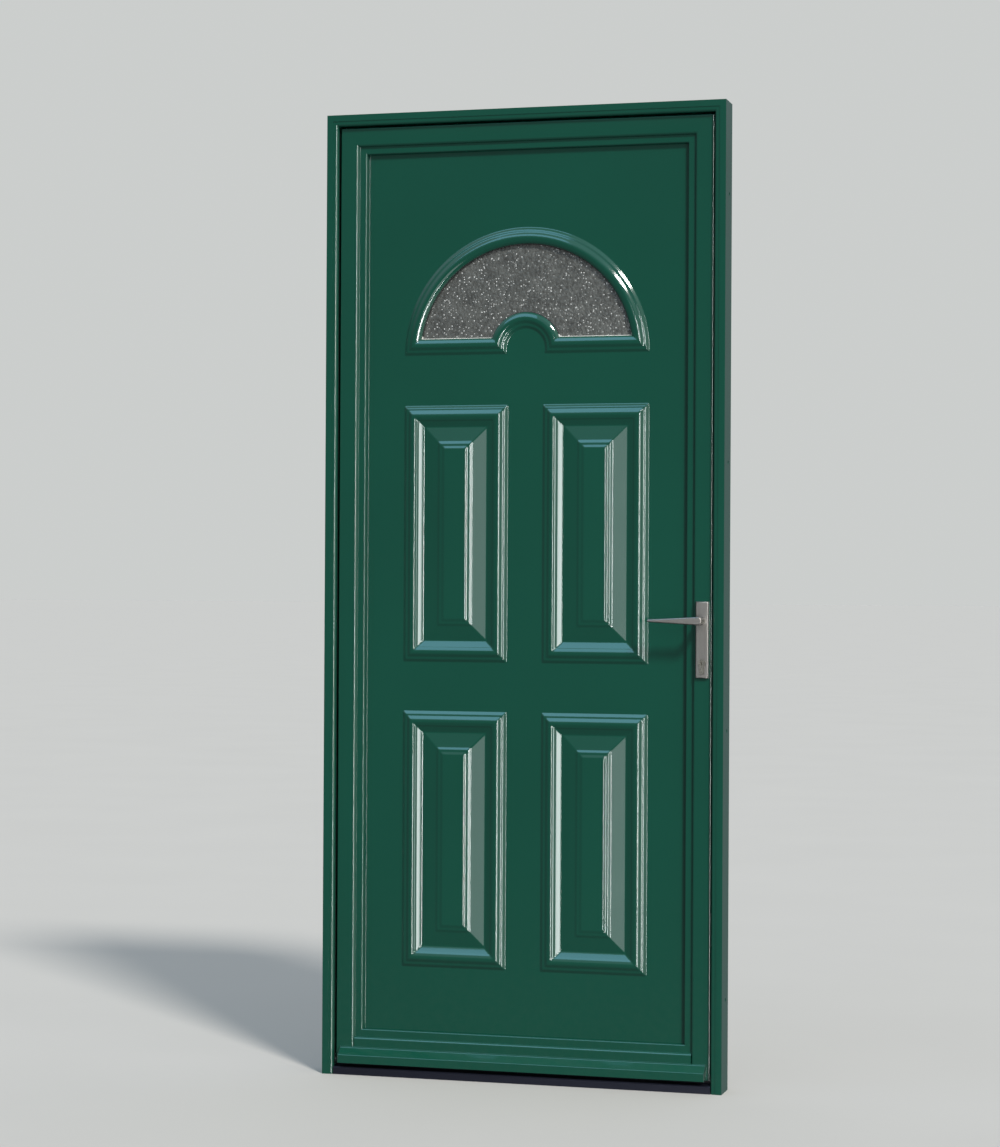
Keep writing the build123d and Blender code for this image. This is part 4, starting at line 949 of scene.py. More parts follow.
class DOOR_OT_frame(bpy.types.Operator):
    """Hinge jamb, lock jamb and head of the frame"""

    bl_idname = "door.frame"
    bl_label = "Frame"

    def execute(self, context):
        size = context.scene.door_frame
        half, out, top = -jamb_low.x, jamb_low.y, jamb_high.z
        rebate_half = half - size.face + size.rebate_step
        run = Vector((0, 0, top))
        hinge_jamb = frame_bar("hinge_jamb", lambda u, v: Vector((u - half, out + v, 0)), run)
        lock_jamb = frame_bar("lock_jamb", lambda u, v: Vector((half - u, out + v, 0)), run)
        head = frame_bar("head", lambda u, v: Vector((-half, out + v, top - u)), Vector((2 * half, 0, 0)))
        left_corner, right_corner = (-half, 0, top), (half, 0, top)
        saw(hinge_jamb, left_corner, (1, 0, 1))
        saw(lock_jamb, right_corner, (-1, 0, 1))
        saw(head, left_corner, (-1, 0, -1))
        saw(head, right_corner, (1, 0, -1))

        # Fixing holes
        fixing_y = (out + size.nose_depth + jamb_high.y) / 2
        step = (top - 2 * size.fixing_inset) / (size.fixings - 1)
        for jamb, side in ((hinge_jamb, -1), (lock_jamb, 1)):
            holes = []
            for place in range(size.fixings):
                height = size.fixing_inset + step * place
                ends = [(side * x, fixing_y, height) for x in (rebate_half - SLACK, half + SLACK)]
                holes.append(bar("hole", *ends, size.fixing_radius, sides=24))
            cut(jamb, holes)

        # Windows for the latch and the bolts
        margin = size.bolt_margin
        windows = []
        for low, high in bolt_boxes():
            near = (rebate_half - SLACK, low.y - margin, low.z - margin)
            far = (rebate_half + size.wall + SLACK, high.y + margin, high.z + margin)
            windows.append(block("window", near, far))
        cut(lock_jamb, windows)
        hand_over(hinge_jamb, "frame", "green_paint", "frame_hinge_jamb")
        hand_over(lock_jamb, "frame", "green_paint", "frame_lock_jamb")
        hand_over(head, "frame", "green_paint", "frame_head")
        return {"FINISHED"}


class DOOR_OT_threshold(bpy.types.Operator):
    """Dark threshold with its sloped front and drain groove"""

    bl_idname = "door.threshold"
    bl_label = "Threshold"

    def execute(self, context):
        size = context.scene.door_leaf
        jamb = context.scene.door_frame
        out, inside, top, wall = sill_low.y, sill_high.y, sill_high.z, size.sill_wall
        groove = stile_low.y + size.edge_radius
        groove_end = groove + size.groove_width
        half = sill_high.x
        corners = (
            (out, 0),
            (out, size.sill_front - wall),
            (out + wall, size.sill_front),
            (groove, top),
            (groove, top - size.groove),
            (groove_end, top - size.groove),
            (groove_end, top),
            (inside - wall, top),
            (inside, top - wall),
            (inside, 0),
        )
        hollows = (
            (out + wall, wall, groove_end, size.sill_front - 2 * wall),
            (groove_end + wall, wall, inside - wall, top - wall),
        )
        run = Vector((2 * half, 0, 0))
        piece = section_bar("threshold", corners, lambda y, z: Vector((-half, y, z)), run, (), hollows)

        # Room at both ends for the jambs' noses
        nose_back = jamb_low.y + jamb.nose_depth
        nose_half = -jamb_low.x - jamb.face
        notches = []
        for near, far in ((-half - SLACK, -nose_half), (nose_half, half + SLACK)):
            notches.append(block("notch", (near, out - SLACK, -SLACK), (far, nose_back, top + SLACK)))
        cut(piece, notches)
        hand_over(piece, "frame", "dark_anodised", "frame_threshold")
        return {"FINISHED"}


# Leaf

def leaf_lines():
    """The leaf's main lines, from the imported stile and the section's sizes."""
    size = bpy.context.scene.door_leaf
    half = -stile_low.x - size.overlap_reach
    top = stile_high.z - size.overlap_reach
    bottom = stile_low.z
    infill_half = half - size.face
    infill_bottom = bottom + size.bottom_face
    return SimpleNamespace(
        half=half,
        top=top,
        bottom=bottom,
        out=stile_low.y,
        inside=stile_high.y,
        infill_half=infill_half,
        infill_top=top - size.face,
        infill_bottom=infill_bottom,
        lip_half=infill_half - size.lip_width,
        lip_bottom=infill_bottom + size.lip_width,
    )


def leaf_bar(name, face, place, run, overlap=True):
    """One member of the leaf, with its outside lip and, where it has one, its inside overlap."""
    size = bpy.context.scene.door_leaf
    depth = stile_high.y - stile_low.y
    lip_end = face + size.lip_width
    lip_back = size.lip_drop + size.lip_thickness
    wall = size.wall
    corners = [
        (0, 0),
        (face, 0),
        (face, size.lip_drop),
        (lip_end, size.lip_drop),
        (lip_end, lip_back),
        (face, lip_back),
        (face, depth),
    ]
    hollows = [
        (wall, wall, face - wall, size.web - wall),
        (wall, size.web, face - wall, depth - wall),
    ]
    if overlap:
        step = depth - size.overlap_thickness
        reach = -size.overlap_reach
        corners += [(reach, depth), (reach, step), (0, step)]
        hollows.append((reach + wall, step + wall, 0, depth - wall))
    else:
        corners.append((0, depth))
    rounds = (
        ((0, 0), size.edge_radius),
        ((face, 0), size.inner_radius),
        ((lip_end, size.lip_drop), size.lip_radius),
    )
    return section_bar(name, corners, place, run, rounds, hollows)


def keyhole_tool(y_low, y_high):
    """A cutter for the lock cylinder's hole between two depths, round above a narrower web."""
    size = bpy.context.scene.door_handle
    radius = size.cylinder_radius + size.cylinder_gap
    web = size.cylinder_web / 2 + size.cylinder_gap
    foot = size.cylinder_height - size.cylinder_radius - size.cylinder_web / 2
    side = math.acos(web / radius)
    hole = arc((0, 0), radius, -side, math.pi + side, count=32)
    hole += arc((0, -foot), web, math.pi, 2 * math.pi, count=14)
    tool = outline("keyhole", [Vector((handle_x + x, y_low, cylinder_z + z)) for x, z in hole])
    pull(tool, Vector((0, y_high - y_low, 0)))
    return tool


class DOOR_OT_leaf(bpy.types.Operator):
    """Hinge stile, lock stile, top rail and bottom rail of the leaf"""

    bl_idname = "door.leaf"
    bl_label = "Leaf"

    def execute(self, context):
        size = context.scene.door_leaf
        handle = context.scene.door_handle
        line = leaf_lines()
        run = Vector((0, 0, stile_high.z - line.bottom))
        side_end = line.half + size.overlap_reach
        hinge_stile = leaf_bar(
            "hinge_stile", size.face, lambda u, v: Vector((u - line.half, line.out + v, line.bottom)), run
        )
        lock_stile = leaf_bar(
            "lock_stile", size.face, lambda u, v: Vector((line.half - u, line.out + v, line.bottom)), run
        )
        top_rail = leaf_bar(
            "top_rail",
            size.face,
            lambda u, v: Vector((-side_end, line.out + v, line.top - u)),
            Vector((2 * side_end, 0, 0)),
        )
        bottom_rail = leaf_bar(
            "bottom_rail",
            size.bottom_face,
            lambda u, v: Vector((-line.infill_half, line.out + v, line.bottom + u)),
            Vector((2 * line.infill_half, 0, 0)),
            overlap=False,
        )
        left_corner, right_corner = (-line.half, 0, line.top), (line.half, 0, line.top)
        saw(hinge_stile, left_corner, (1, 0, 1))
        saw(lock_stile, right_corner, (-1, 0, 1))
        saw(top_rail, left_corner, (-1, 0, -1))
        saw(top_rail, right_corner, (1, 0, -1))
        for side in (-1, 1):
            saw(bottom_rail, (side * line.infill_half, 0, line.infill_bottom), (side, 0, 1))

        # The stiles' lips end at the bottom rail's, and are mitred to it
        lip_out = line.out + size.lip_drop - SLACK
        for stile, side in ((hinge_stile, -1), (lock_stile, 1)):
            past = side * (line.lip_half - SLACK)
            corner = (
                (side * line.infill_half, line.bottom - SLACK),
                (side * line.infill_half, line.infill_bottom),
                (past, line.lip_bottom + SLACK),
                (past, line.bottom - SLACK),
            )
            tool = outline("corner", [Vector((x, lip_out, z)) for x, z in corner])
            pull(tool, Vector((0, size.lip_thickness + 2 * SLACK, 0)))
            cut(stile, [tool])

        # Openings for the faceplate, the spindle and the lock cylinder
        front, back, spindle = line.out - SLACK, line.inside + SLACK, handle.lever_height
        slot_low = (line.half - size.wall, face_low.y, face_low.z)
        slot_high = (line.half + SLACK, face_high.y, face_high.z)
        tools = [
            block("slot", slot_low, slot_high),
            bar("hole", (handle_x, front, spindle), (handle_x, back, spindle), handle.follower),
            keyhole_tool(front, back),
        ]
        cut(lock_stile, tools)
        hand_over(hinge_stile, "leaf", "green_paint", "leaf_hinge_stile")
        hand_over(lock_stile, "leaf", "green_paint", "leaf_lock_stile")
        hand_over(top_rail, "leaf", "green_paint", "leaf_top_rail")
        hand_over(bottom_rail, "leaf", "green_paint", "leaf_bottom_rail")
        return {"FINISHED"}


class DOOR_OT_weather_bar(bpy.types.Operator):
    """Weather bar at the foot of the leaf, with its end caps"""

    bl_idname = "door.weather_bar"
    bl_label = "Weather bar"

    def execute(self, context):
        size = context.scene.door_leaf
        wall = size.bar_wall
        front, back, bottom, top = bar_low.y, bar_high.y, bar_low.z, bar_high.z
        flange = stile_low.z
        crease = bottom + size.bar_front
        half = bar_high.x
        lip, foot = (back - wall, top), (back - wall, top - size.bar_upstand)
        outer = ((back, flange), (back, top), lip, foot, (front, crease), (front, bottom))
        corners = outer + (
            (front + wall, bottom),
            (front + wall, crease - wall / 2),
            (back - wall, top - 3 * wall),
            (back - wall, flange),
        )
        turn = math.atan2(back - front, top - crease)
        rounds = (
            (lip, size.bar_lip_radius),
            (foot, size.bar_foot_radius),
            ((front, crease), size.bar_crease_radius * math.tan(turn / 2)),
            ((front, bottom), size.bar_edge_radius),
            ((front + wall, bottom), size.bar_edge_radius),
        )
        run = Vector((2 * half, 0, 0))
        piece = section_bar("bar", corners, lambda y, z: Vector((-half, y, z)), run, rounds)
        hand_over(piece, "leaf", "green_paint", "weather_bar")
        caps = []
        for side in (-1, 1):
            cap = outline("bar_caps", [Vector((side * half, y, z)) for y, z in outer])
            pull(cap, Vector((side * (caps_half - half), 0, 0)))
            face_outwards(cap)
            round_edges(cap, on_level(0, side * caps_half), size.cap_radius, steps=3)
            caps.append(cap)
        hand_over(join(caps), "leaf", "dark_plastic", "weather_bar_caps")
        return {"FINISHED"}


# Pressed panel

# The mouldings, each point as its distance in from the outline and its height off the skin, in millimetres
RISE = ((0, 0), (6, 3.8), (11, 4.4), (17, 7.8), (21, 8.6))
FALL = ((25, 8.6), (32, 6.4), (34, 4.8), (41, 2.2), (46, 0.4))
FIELD = ((48, 0), (80, 5.4), (85, 7.6), (90, 8.0), (96, 9.8), (100, 9.8))
MOULDING = RISE + FALL + FIELD
# Round the window, the last point lies at the back of the skin
ARCH = RISE + ((25, 8.6), (31, 7.0), (36, 4.0), (36, -2.0))


def relief_rings(profile, size):
    """Distance in and height of each ring of a moulding, in metres, from its flat rim inwards."""
    rim = ((-size.margin / MM, 0),)
    return [ring * MM for ring in softened(rim + profile, size.soften / MM)]


def raised_panel(centre, width, height, size):
    """One raised panel, inset ring by ring from a plane."""
    rings = relief_rings(MOULDING, size)
    rest()
    bpy.ops.mesh.primitive_plane_add(size=1, location=centre, rotation=(math.pi / 2, 0, 0))
    piece = newest("raised_panel")
    piece.scale = (width + 2 * size.margin, height + 2 * size.margin, 1)
    set_down(piece)
    edit_all(piece)
    bpy.ops.mesh.select_mode(type="FACE")
    for before, after in zip(rings, rings[1:]):
        bpy.ops.mesh.inset(thickness=after.x - before.x, depth=after.y - before.y, use_even_offset=True)
    close_edit()

    def diagonal(first, second):
        across = abs(first.x - second.x)
        return across > NEAR and abs(across - abs(first.z - second.z)) < NEAR

    round_edges(piece, diagonal, size.mitre)
    return piece


def arch_loop(inset, radius, size):
    """The window's outline moved in by an inset, from the right foot over the top and back."""
    outer = radius - inset
    inner = size.notch_radius + inset
    foot = math.asin(inset / outer)
    rise = max(inset, size.notch_rise) - size.notch_rise
    turn = math.asin(rise / inner)
    points = arc((0, 0), outer, foot, math.pi - foot, count=72)
    points.append((-inner * math.cos(turn), inset))
    points += arc((0, size.notch_rise), inner, math.pi - turn, turn, count=36)
    points.append((inner * math.cos(turn), inset))
    return points


def arch_relief(base, radius, y, size):
    """The moulding round the window, ring by ring from its outline inwards."""
    loops = []
    for ring in relief_rings(ARCH, size):
        loops.append([Vector((x, y - ring.y, base + z)) for x, z in arch_loop(ring.x, radius, size)])
    piece = outline("window_moulding", loops[0], fill="NOTHING")
    edit_all(piece)
    for loop in loops[1:]:
        bpy.ops.mesh.extrude_edges_move()
        close_edit()
        chosen = [vertex for vertex in piece.data.vertices if vertex.select]
        if len(chosen) != len(loop):
            raise RuntimeError(f"a ring of the window has {len(chosen)} points, not {len(loop)}")
        for vertex, point in zip(chosen, loop):
            vertex.co = point
        bpy.ops.object.mode_set(mode="EDIT")
    close_edit()
    return piece


def fill_rim(piece, y):
    """Close the openings of a piece at a depth."""
    edit_rim(piece, y)
    bpy.ops.mesh.fill(use_beauty=True)
    close_edit()


class DOOR_OT_panel(bpy.types.Operator):
    """Outer and inner pressed skins, with the raised panels and the window's moulding"""

    bl_idname = "door.panel"
    bl_label = "Pressed panel"

    def execute(self, context):
        size = context.scene.door_panel
        line = leaf_lines()
        back = core_low.y
        face = back - size.skin
        radius = line.lip_half - size.side_margin
        base = line.top - size.arch_drop
        row_base = line.lip_bottom + size.bottom_margin
        height = (base - size.arch_gap - row_base - size.row_gap) / 2
        width = radius - size.column_gap / 2
        pieces = [arch_relief(base, radius, face, size)]
        centre = (size.column_gap / 2 + width / 2, face, row_base + height / 2)
        model = raised_panel(centre, width, height, size)
        left, up = -2 * centre[0], height + size.row_gap
        for x, z in ((left, 0), (0, up), (left, up)):
            pieces.append(copy_of(model, "raised_panel", Matrix.Translation((x, 0, z))))
        pieces.append(model)
        low, high = core_low, core_high
        corners = ((low.x, low.z), (high.x, low.z), (high.x, high.z), (low.x, high.z))
        sheet = outline("outer_skin", [Vector((x, face, z)) for x, z in corners], fill="NOTHING")
        skin = join([sheet] + pieces)
        edit_all(skin)
        bpy.ops.mesh.remove_doubles(threshold=MERGE)
        close_edit()

        # A sheet fills what lies between the mouldings, its edge runs back, and another closes the back
        fill_rim(skin, face)
        edit_rim(skin, face)
        bpy.ops.mesh.extrude_region_move(TRANSFORM_OT_translate={"value": (0, size.skin, 0)})
        close_edit()
        fill_rim(skin, back)
        inner = mirrored(skin, "inner_skin", (core_low.y + core_high.y) / 2)
        hand_over(skin, "leaf", "green_paint", "panel_outer_skin", angle=20)
        hand_over(inner, "leaf", "green_paint", "panel_inner_skin", angle=20)
        return {"FINISHED"}


class DOOR_OT_beads(bpy.types.Operator):
    """Four mitred beads that hold the panel from inside"""

    bl_idname = "door.beads"
    bl_label = "Beads"

    def execute(self, context):
        size = context.scene.door_leaf
        line = leaf_lines()
        out, depth, wall = bead_low.y, bead_high.y - bead_low.y, size.bead_wall
        half, top, bottom = line.infill_half, line.infill_top, line.infill_bottom
        corners = ((0, 0), (size.lip_width, 0), (size.lip_width, depth), (0, depth))
        rounds = (((size.lip_width, depth), size.bead_radius),)
        hollows = ((wall, wall, size.lip_width - wall, depth - wall),)
        upright = Vector((0, 0, top - bottom))
        across = Vector((2 * half, 0, 0))
        # Name here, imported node, place of a section's point, run, and corner and normal of each mitre
        members = (
            (
                "hinge_side_bead",
                "bead_hinge_side",
                lambda u, v: Vector((u - half, out + v, bottom)),
                upright,
                ((-half, top, (1, 0, 1)), (-half, bottom, (1, 0, -1))),
            ),
            (
                "lock_side_bead",
                "bead_lock_side",
                lambda u, v: Vector((half - u, out + v, bottom)),
                upright,
                ((half, top, (-1, 0, 1)), (half, bottom, (-1, 0, -1))),
            ),
            (
                "top_bead",
                "bead_top",
                lambda u, v: Vector((-half, out + v, top - u)),
                across,
                ((-half, top, (-1, 0, -1)), (half, top, (1, 0, -1))),
            ),
            (
                "bottom_bead",
                "bead_bottom",
                lambda u, v: Vector((-half, out + v, bottom + u)),
                across,
                ((-half, bottom, (-1, 0, 1)), (half, bottom, (1, 0, 1))),
            ),
        )
        for name, node, place, run, mitres in members:
            piece = section_bar(name, corners, place, run, rounds, hollows)
            for x, z, normal in mitres:
                saw(piece, (x, 0, z), normal)
            hand_over(piece, "leaf", "green_paint", node)
        return {"FINISHED"}


# Hardware

class DOOR_OT_handles(bpy.types.Operator):
    """Levers and backplates on both sides"""

    bl_idname = "door.handles"
    bl_label = "Handles"

    def execute(self, context):
        size = context.scene.door_handle
        line = leaf_lines()
        height = size.lever_height
        front = lever_low.y
        root, tip = size.lever_root, size.lever_tip
        reach = handle_x - lever_low.x - tip
        lean = math.pi - math.acos((root - tip) / reach)
        arm = arc((0, 0), root, -lean, lean, count=28)
        arm += arc((-reach, 0), tip, lean, 2 * math.pi - lean, count=14)
        lever = outline("outer_lever", [Vector((handle_x + x, front, height + z)) for x, z in arm])
        pull(lever, Vector((0, size.lever_thickness, 0)))
        face_outwards(lever)
        rims = on_level(1, front, front + size.lever_thickness)
        round_edges(lever, rims, size.lever_edge, steps=5)
        neck_ends = [(handle_x, y, height) for y in (front + size.lever_thickness / 2, line.out)]
        neck = bar("neck", *neck_ends, size.neck, sides=48)
        combine(lever, neck, "UNION")
        socket = block(
            "socket",
            (handle_x - size.socket, line.out - size.socket_depth, height - size.socket),
            (handle_x + size.socket, line.out + SLACK, height + size.socket),
        )
        cut(lever, [socket])
        inner_lever = mirrored(lever, "inner_lever", lock_plane)
        hand_over(lever, "handles", "satin_handle", "outside_lever")
        hand_over(inner_lever, "handles", "satin_handle", "inside_lever")

        plate = block("outer_backplate", plate_low, plate_high)
        round_edges(plate, on_level(1, plate_low.y), size.plate_edge)
        near, far = plate_low.y - SLACK, plate_high.y + SLACK
        hole_ends = [(handle_x, y, height) for y in (near, far)]
        hole = bar("hole", *hole_ends, size.neck + size.neck_gap, sides=48)
        cut(plate, [hole, keyhole_tool(near, far)])
        inner_plate = mirrored(plate, "inner_backplate", lock_plane)
        sinks = []
        for low, high in solid_boxes("backplate_screws"):
            place = Vector(((low.x + high.x) / 2, high.y, (low.z + high.z) / 2))
            sinks.append(screw_tool(place, (0, 1, 0), high.y - line.inside + SLACK))
        cut(inner_plate, sinks)
        hand_over(plate, "leaf", "satin_handle", "outside_backplate")
        hand_over(inner_plate, "leaf", "satin_handle", "inside_backplate")
        return {"FINISHED"}


def screw_form(name, head, shank, rise, depth, lift=0.0):
    """A countersunk screw's shape, pointing down from its head at height nought."""
    piece = bar(name, (0, 0, -depth), (0, 0, -rise), shank, sides=28)
    edit_chosen(piece, "FACE", lambda face: face.normal.z > ALONG)
    bpy.ops.mesh.extrude_region_move(TRANSFORM_OT_translate={"value": (0, 0, rise)})
    bpy.ops.transform.resize(value=(head / shank, head / shank, 1), center_override=(0, 0, 0))
    if lift:
        bpy.ops.mesh.extrude_region_move(TRANSFORM_OT_translate={"value": (0, 0, lift)})
    close_edit()
    return piece


def facing(direction):
    """The turn that points a screw's head along a direction."""
    return Vector(direction).to_track_quat("Z", "Y").to_matrix().to_4x4()


def screw_tool(place, direction, depth):
    """A cutter for a countersunk screw hole whose mouth is at a place."""
    size = bpy.context.scene.door_handle
    head, shank = size.screw_head + size.screw_gap, size.screw_shank + size.screw_gap
    tool = screw_form("sink", head, shank, size.screw_rise, depth, SLACK)
    tool.data.transform(Matrix.Translation(place) @ facing(direction))
    return tool


class DOOR_OT_screws(bpy.types.Operator):
    """Cross-recessed screws, modelled once and copied to every place"""

    bl_idname = "door.screws"
    bl_label = "Screws"

    def execute(self, context):
        size = context.scene.door_handle
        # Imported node, name here, body, and the way the heads face
        rows = (
            ("frame_wing_screws", "frame_hinge_screws", "frame", (0, 1, 0)),
            ("leaf_wing_screws", "leaf_hinge_screws", "leaf", (0, 1, 0)),
            ("backplate_screws", "plate_screws", "leaf", (0, 1, 0)),
            ("keep_screws", "strike_screws", "frame", (-1, 0, 0)),
            ("faceplate_screws", "edge_screws", "leaf", (1, 0, 0)),
            ("cylinder_screw", "cylinder_fixing", "leaf", (1, 0, 0)),
        )
        wide, narrow, foot = size.recess_reach, size.recess_half, size.recess_foot
        for node, name, body, direction in rows:
            boxes = solid_boxes(node)
            axis = 0 if direction[0] else 1
            depth = boxes[0][1][axis] - boxes[0][0][axis]
            model = screw_form(name, size.screw_head, size.screw_shank, size.screw_rise, depth)
            round_edges(model, on_level(2, 0), size.screw_edge, steps=2)
            for x, y in ((narrow, wide), (wide, narrow)):
                recess = block("recess", (-x, -y, -size.recess_depth), (x, y, SLACK))
                edit_chosen(recess, "FACE", lambda face: face.normal.z < -ALONG)
                bpy.ops.transform.resize(value=(foot, foot, 1), center_override=(0, 0, 0))
                close_edit()
                combine(model, recess, "DIFFERENCE")
            copies = []
            for low, high in boxes:
                place = (low + high) / 2
                place[axis] = high[axis] if sum(direction) > 0 else low[axis]
                copies.append(copy_of(model, name, Matrix.Translation(place) @ facing(direction)))
            bpy.data.objects.remove(model)
            hand_over(join(copies), body, "zinc_steel", node)
        return {"FINISHED"}


class DOOR_OT_faceplate(bpy.types.Operator):
    """Long lock faceplate let into the leaf's edge"""

    bl_idname = "door.faceplate"
    bl_label = "Faceplate"

    def execute(self, context):
        size = context.scene.door_handle
        line = leaf_lines()
        piece = block("edge_faceplate", face_low, face_high)

        def end_corner(first, second):
            return abs(first.x - second.x) > NEAR

        round_edges(piece, end_corner, size.faceplate_end, steps=8)
        tools = []
        gap = size.bolt_gap
        for low, high in bolt_boxes():
            near = (face_low.x - SLACK, low.y - gap, low.z - gap)
            far = (face_high.x + SLACK, high.y + gap, high.z + gap)
            tools.append(block("slot", near, far))
        for low, high in solid_boxes("faceplate_screws") + solid_boxes("cylinder_screw"):
            place = Vector((line.half, (low.y + high.y) / 2, (low.z + high.z) / 2))
            tools.append(screw_tool(place, (1, 0, 0), size.screw_sink))
        # One by one, because tools that are cut together leave faces over the slots
        for tool in tools:
            cut(piece, [tool])
        hand_over(piece, "leaf", "zinc_steel", "lock_faceplate")
        return {"FINISHED"}


class DOOR_OT_hinges(bpy.types.Operator):
    """Three barrel hinges: wings, knuckles, bushes and pins"""

    bl_idname = "door.hinges"
    bl_label = "Hinges"

    def execute(self, context):
        size = context.scene.door_handle
        line = leaf_lines()
        pin_low, pin_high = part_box("hinge_pins")
        leaf_wing_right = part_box("hinge_leaf_wings")[1].x
        centre = ((pin_low.x + pin_high.x) / 2, (pin_low.y + pin_high.y) / 2)
        heights = [(low.z + high.z) / 2 for low, high in solid_boxes("hinge_leaf_wings")]
        level = heights[0]
        bottom, top = level - size.hinge_length / 2, level + size.hinge_length / 2
        knuckle_low, knuckle_high = level - size.hinge_knuckle / 2, level + size.hinge_knuckle / 2
        bore = size.hinge_pin + size.hinge_clearance
        bush = bore + size.hinge_bush

        def on_axis(name, low, high, radius, sides):
            """A round bar on the hinge's axis."""
            return bar(name, (*centre, low), (*centre, high), radius, sides)

        wing_left, wing_back = jamb_low.x, jamb_high.y
        wing_right = wing_left + size.wing_width
        wing_front = centre[1] - size.hinge_radius - size.wing_clearance
        frame_wing = block("frame_wings", (wing_left, wing_back, bottom), (wing_right, wing_front, top))
        for low, high in ((bottom, knuckle_low - size.hinge_gap), (knuckle_high + size.hinge_gap, top)):
            post = block("post", (wing_left, wing_front - SLACK, low), (wing_right, centre[1], high))
            combine(frame_wing, post, "UNION")
            combine(frame_wing, on_axis("barrel", low, high, size.hinge_radius, 64), "UNION")
            cut(frame_wing, [on_axis("bore", low - SLACK, high + SLACK, bore, 48)])

        leaf_wing = block(
            "leaf_wings",
            (leaf_wing_right - size.leaf_wing, line.inside, bottom),
            (leaf_wing_right, line.inside + size.hinge_plate, top),
        )
        web_right = centre[0] + size.hinge_radius
        web_low = (web_right - size.hinge_web, line.inside, knuckle_low)
        combine(leaf_wing, block("web", web_low, (web_right, centre[1], knuckle_high)), "UNION")
        combine(leaf_wing, on_axis("barrel", knuckle_low, knuckle_high, size.hinge_radius, 64), "UNION")
        cut(leaf_wing, [on_axis("bore", bottom, top, bush, 48)])

        ring = on_axis("bushes", knuckle_low, knuckle_high, bush, 64)
        round_edges(ring, on_level(2, knuckle_low, knuckle_high), size.bush_radius, steps=3)
        cut(ring, [on_axis("bore", knuckle_low - SLACK, knuckle_high + SLACK, bore, 48)])

        pin = on_axis("pins", bottom, top, size.hinge_pin, 48)
        cap_top = pin_high.z - heights[-1] + level
        cap = on_axis("cap", top, cap_top, size.hinge_radius, 64)
        round_edges(cap, on_level(2, cap_top), size.pin_cap_radius)
        combine(pin, cap, "UNION")

        for model, name, body, node, slot in (
            (frame_wing, "hinge_frame_leaves", "frame", "hinge_frame_wings", "zinc_steel"),
            (leaf_wing, "hinge_leaf_leaves", "leaf", "hinge_leaf_wings", "zinc_steel"),
            (ring, "hinge_rings", "leaf", "hinge_bushes", "nylon"),
            (pin, "hinge_axles", "frame", "hinge_pins", "zinc_steel"),
        ):
            copies = []
            for height in heights:
                copies.append(copy_of(model, name, Matrix.Translation((0, 0, height - level))))
            bpy.data.objects.remove(model)
            hand_over(join(copies), body, slot, node)
        return {"FINISHED"}


# Stage

# What the lamps point at
DOOR_MIDDLE = (0, 0, 1.1)

# Each lamp's name, place, width and height in metres, watts and colour, whether it lights matt surfaces,
# and whether it shows in gloss. Most show in gloss only, as the sky and the bright surroundings would.
LAMPS = (
    ("fill", (3.2, -4.1, 1.4), (3.4, 3.4), 90, (1.0, 0.97, 0.97), True, False),
    ("back_fill", (-3.4, 3.6, 3.6), (3.2, 3.2), 330, (1.0, 0.99, 0.97), True, True),
    ("thin_strip", (2.5, -11.75, 1.0), (0.3, 6.8), 470, (0.95, 1.0, 0.99), False, True),
    ("wide_strip", (5.05, -10.9, 1.0), (1.36, 6.8), 290, (0.93, 1.0, 0.99), False, True),
    ("front_panel", (0.95, -11.96, 1.0), (1.57, 6.8), 52, (0.9, 0.98, 1.0), False, True),
    ("sky_panel", (-4.45, -10.7, 12.05), (8.4, 9.0), 575, (0.28, 0.69, 1.0), False, True),
    ("corner_lamp", (1.8, -4.6, 4.5), (0.4, 0.4), 18, (1.0, 1.0, 1.0), False, True),
)

# The sun's side, strength, width in degrees and colour
SUN = ((0.5, -0.6, 0.62), 2.6, 9, (1.0, 0.97, 0.92))


def area_light(name, place, size, power, tint, on_matt, in_gloss):
    """An oblong light turned to the door that leaves the floor alone."""
    rest()
    bpy.ops.object.light_add(type="AREA", location=place)
    lamp = newest(name)
    lamp.data.shape = "RECTANGLE"
    lamp.data.size, lamp.data.size_y = size
    lamp.data.energy = power
    lamp.data.color = tint
    lamp.visible_diffuse = on_matt
    lamp.visible_glossy = in_gloss
    lamp.light_linking.receiver_collection = bpy.data.collections["unlit"]
    lamp.rotation_euler = (Vector(DOOR_MIDDLE) - Vector(place)).to_track_quat("-Z", "Y").to_euler()


def sun_light(name, side, strength, width, tint):
    """A broad, even light from one side."""
    rest()
    bpy.ops.object.light_add(type="SUN")
    lamp = newest(name)
    lamp.data.energy = strength
    lamp.data.angle = math.radians(width)
    lamp.data.color = tint
    lamp.rotation_euler = Vector(side).to_track_quat("Z", "Y").to_euler()


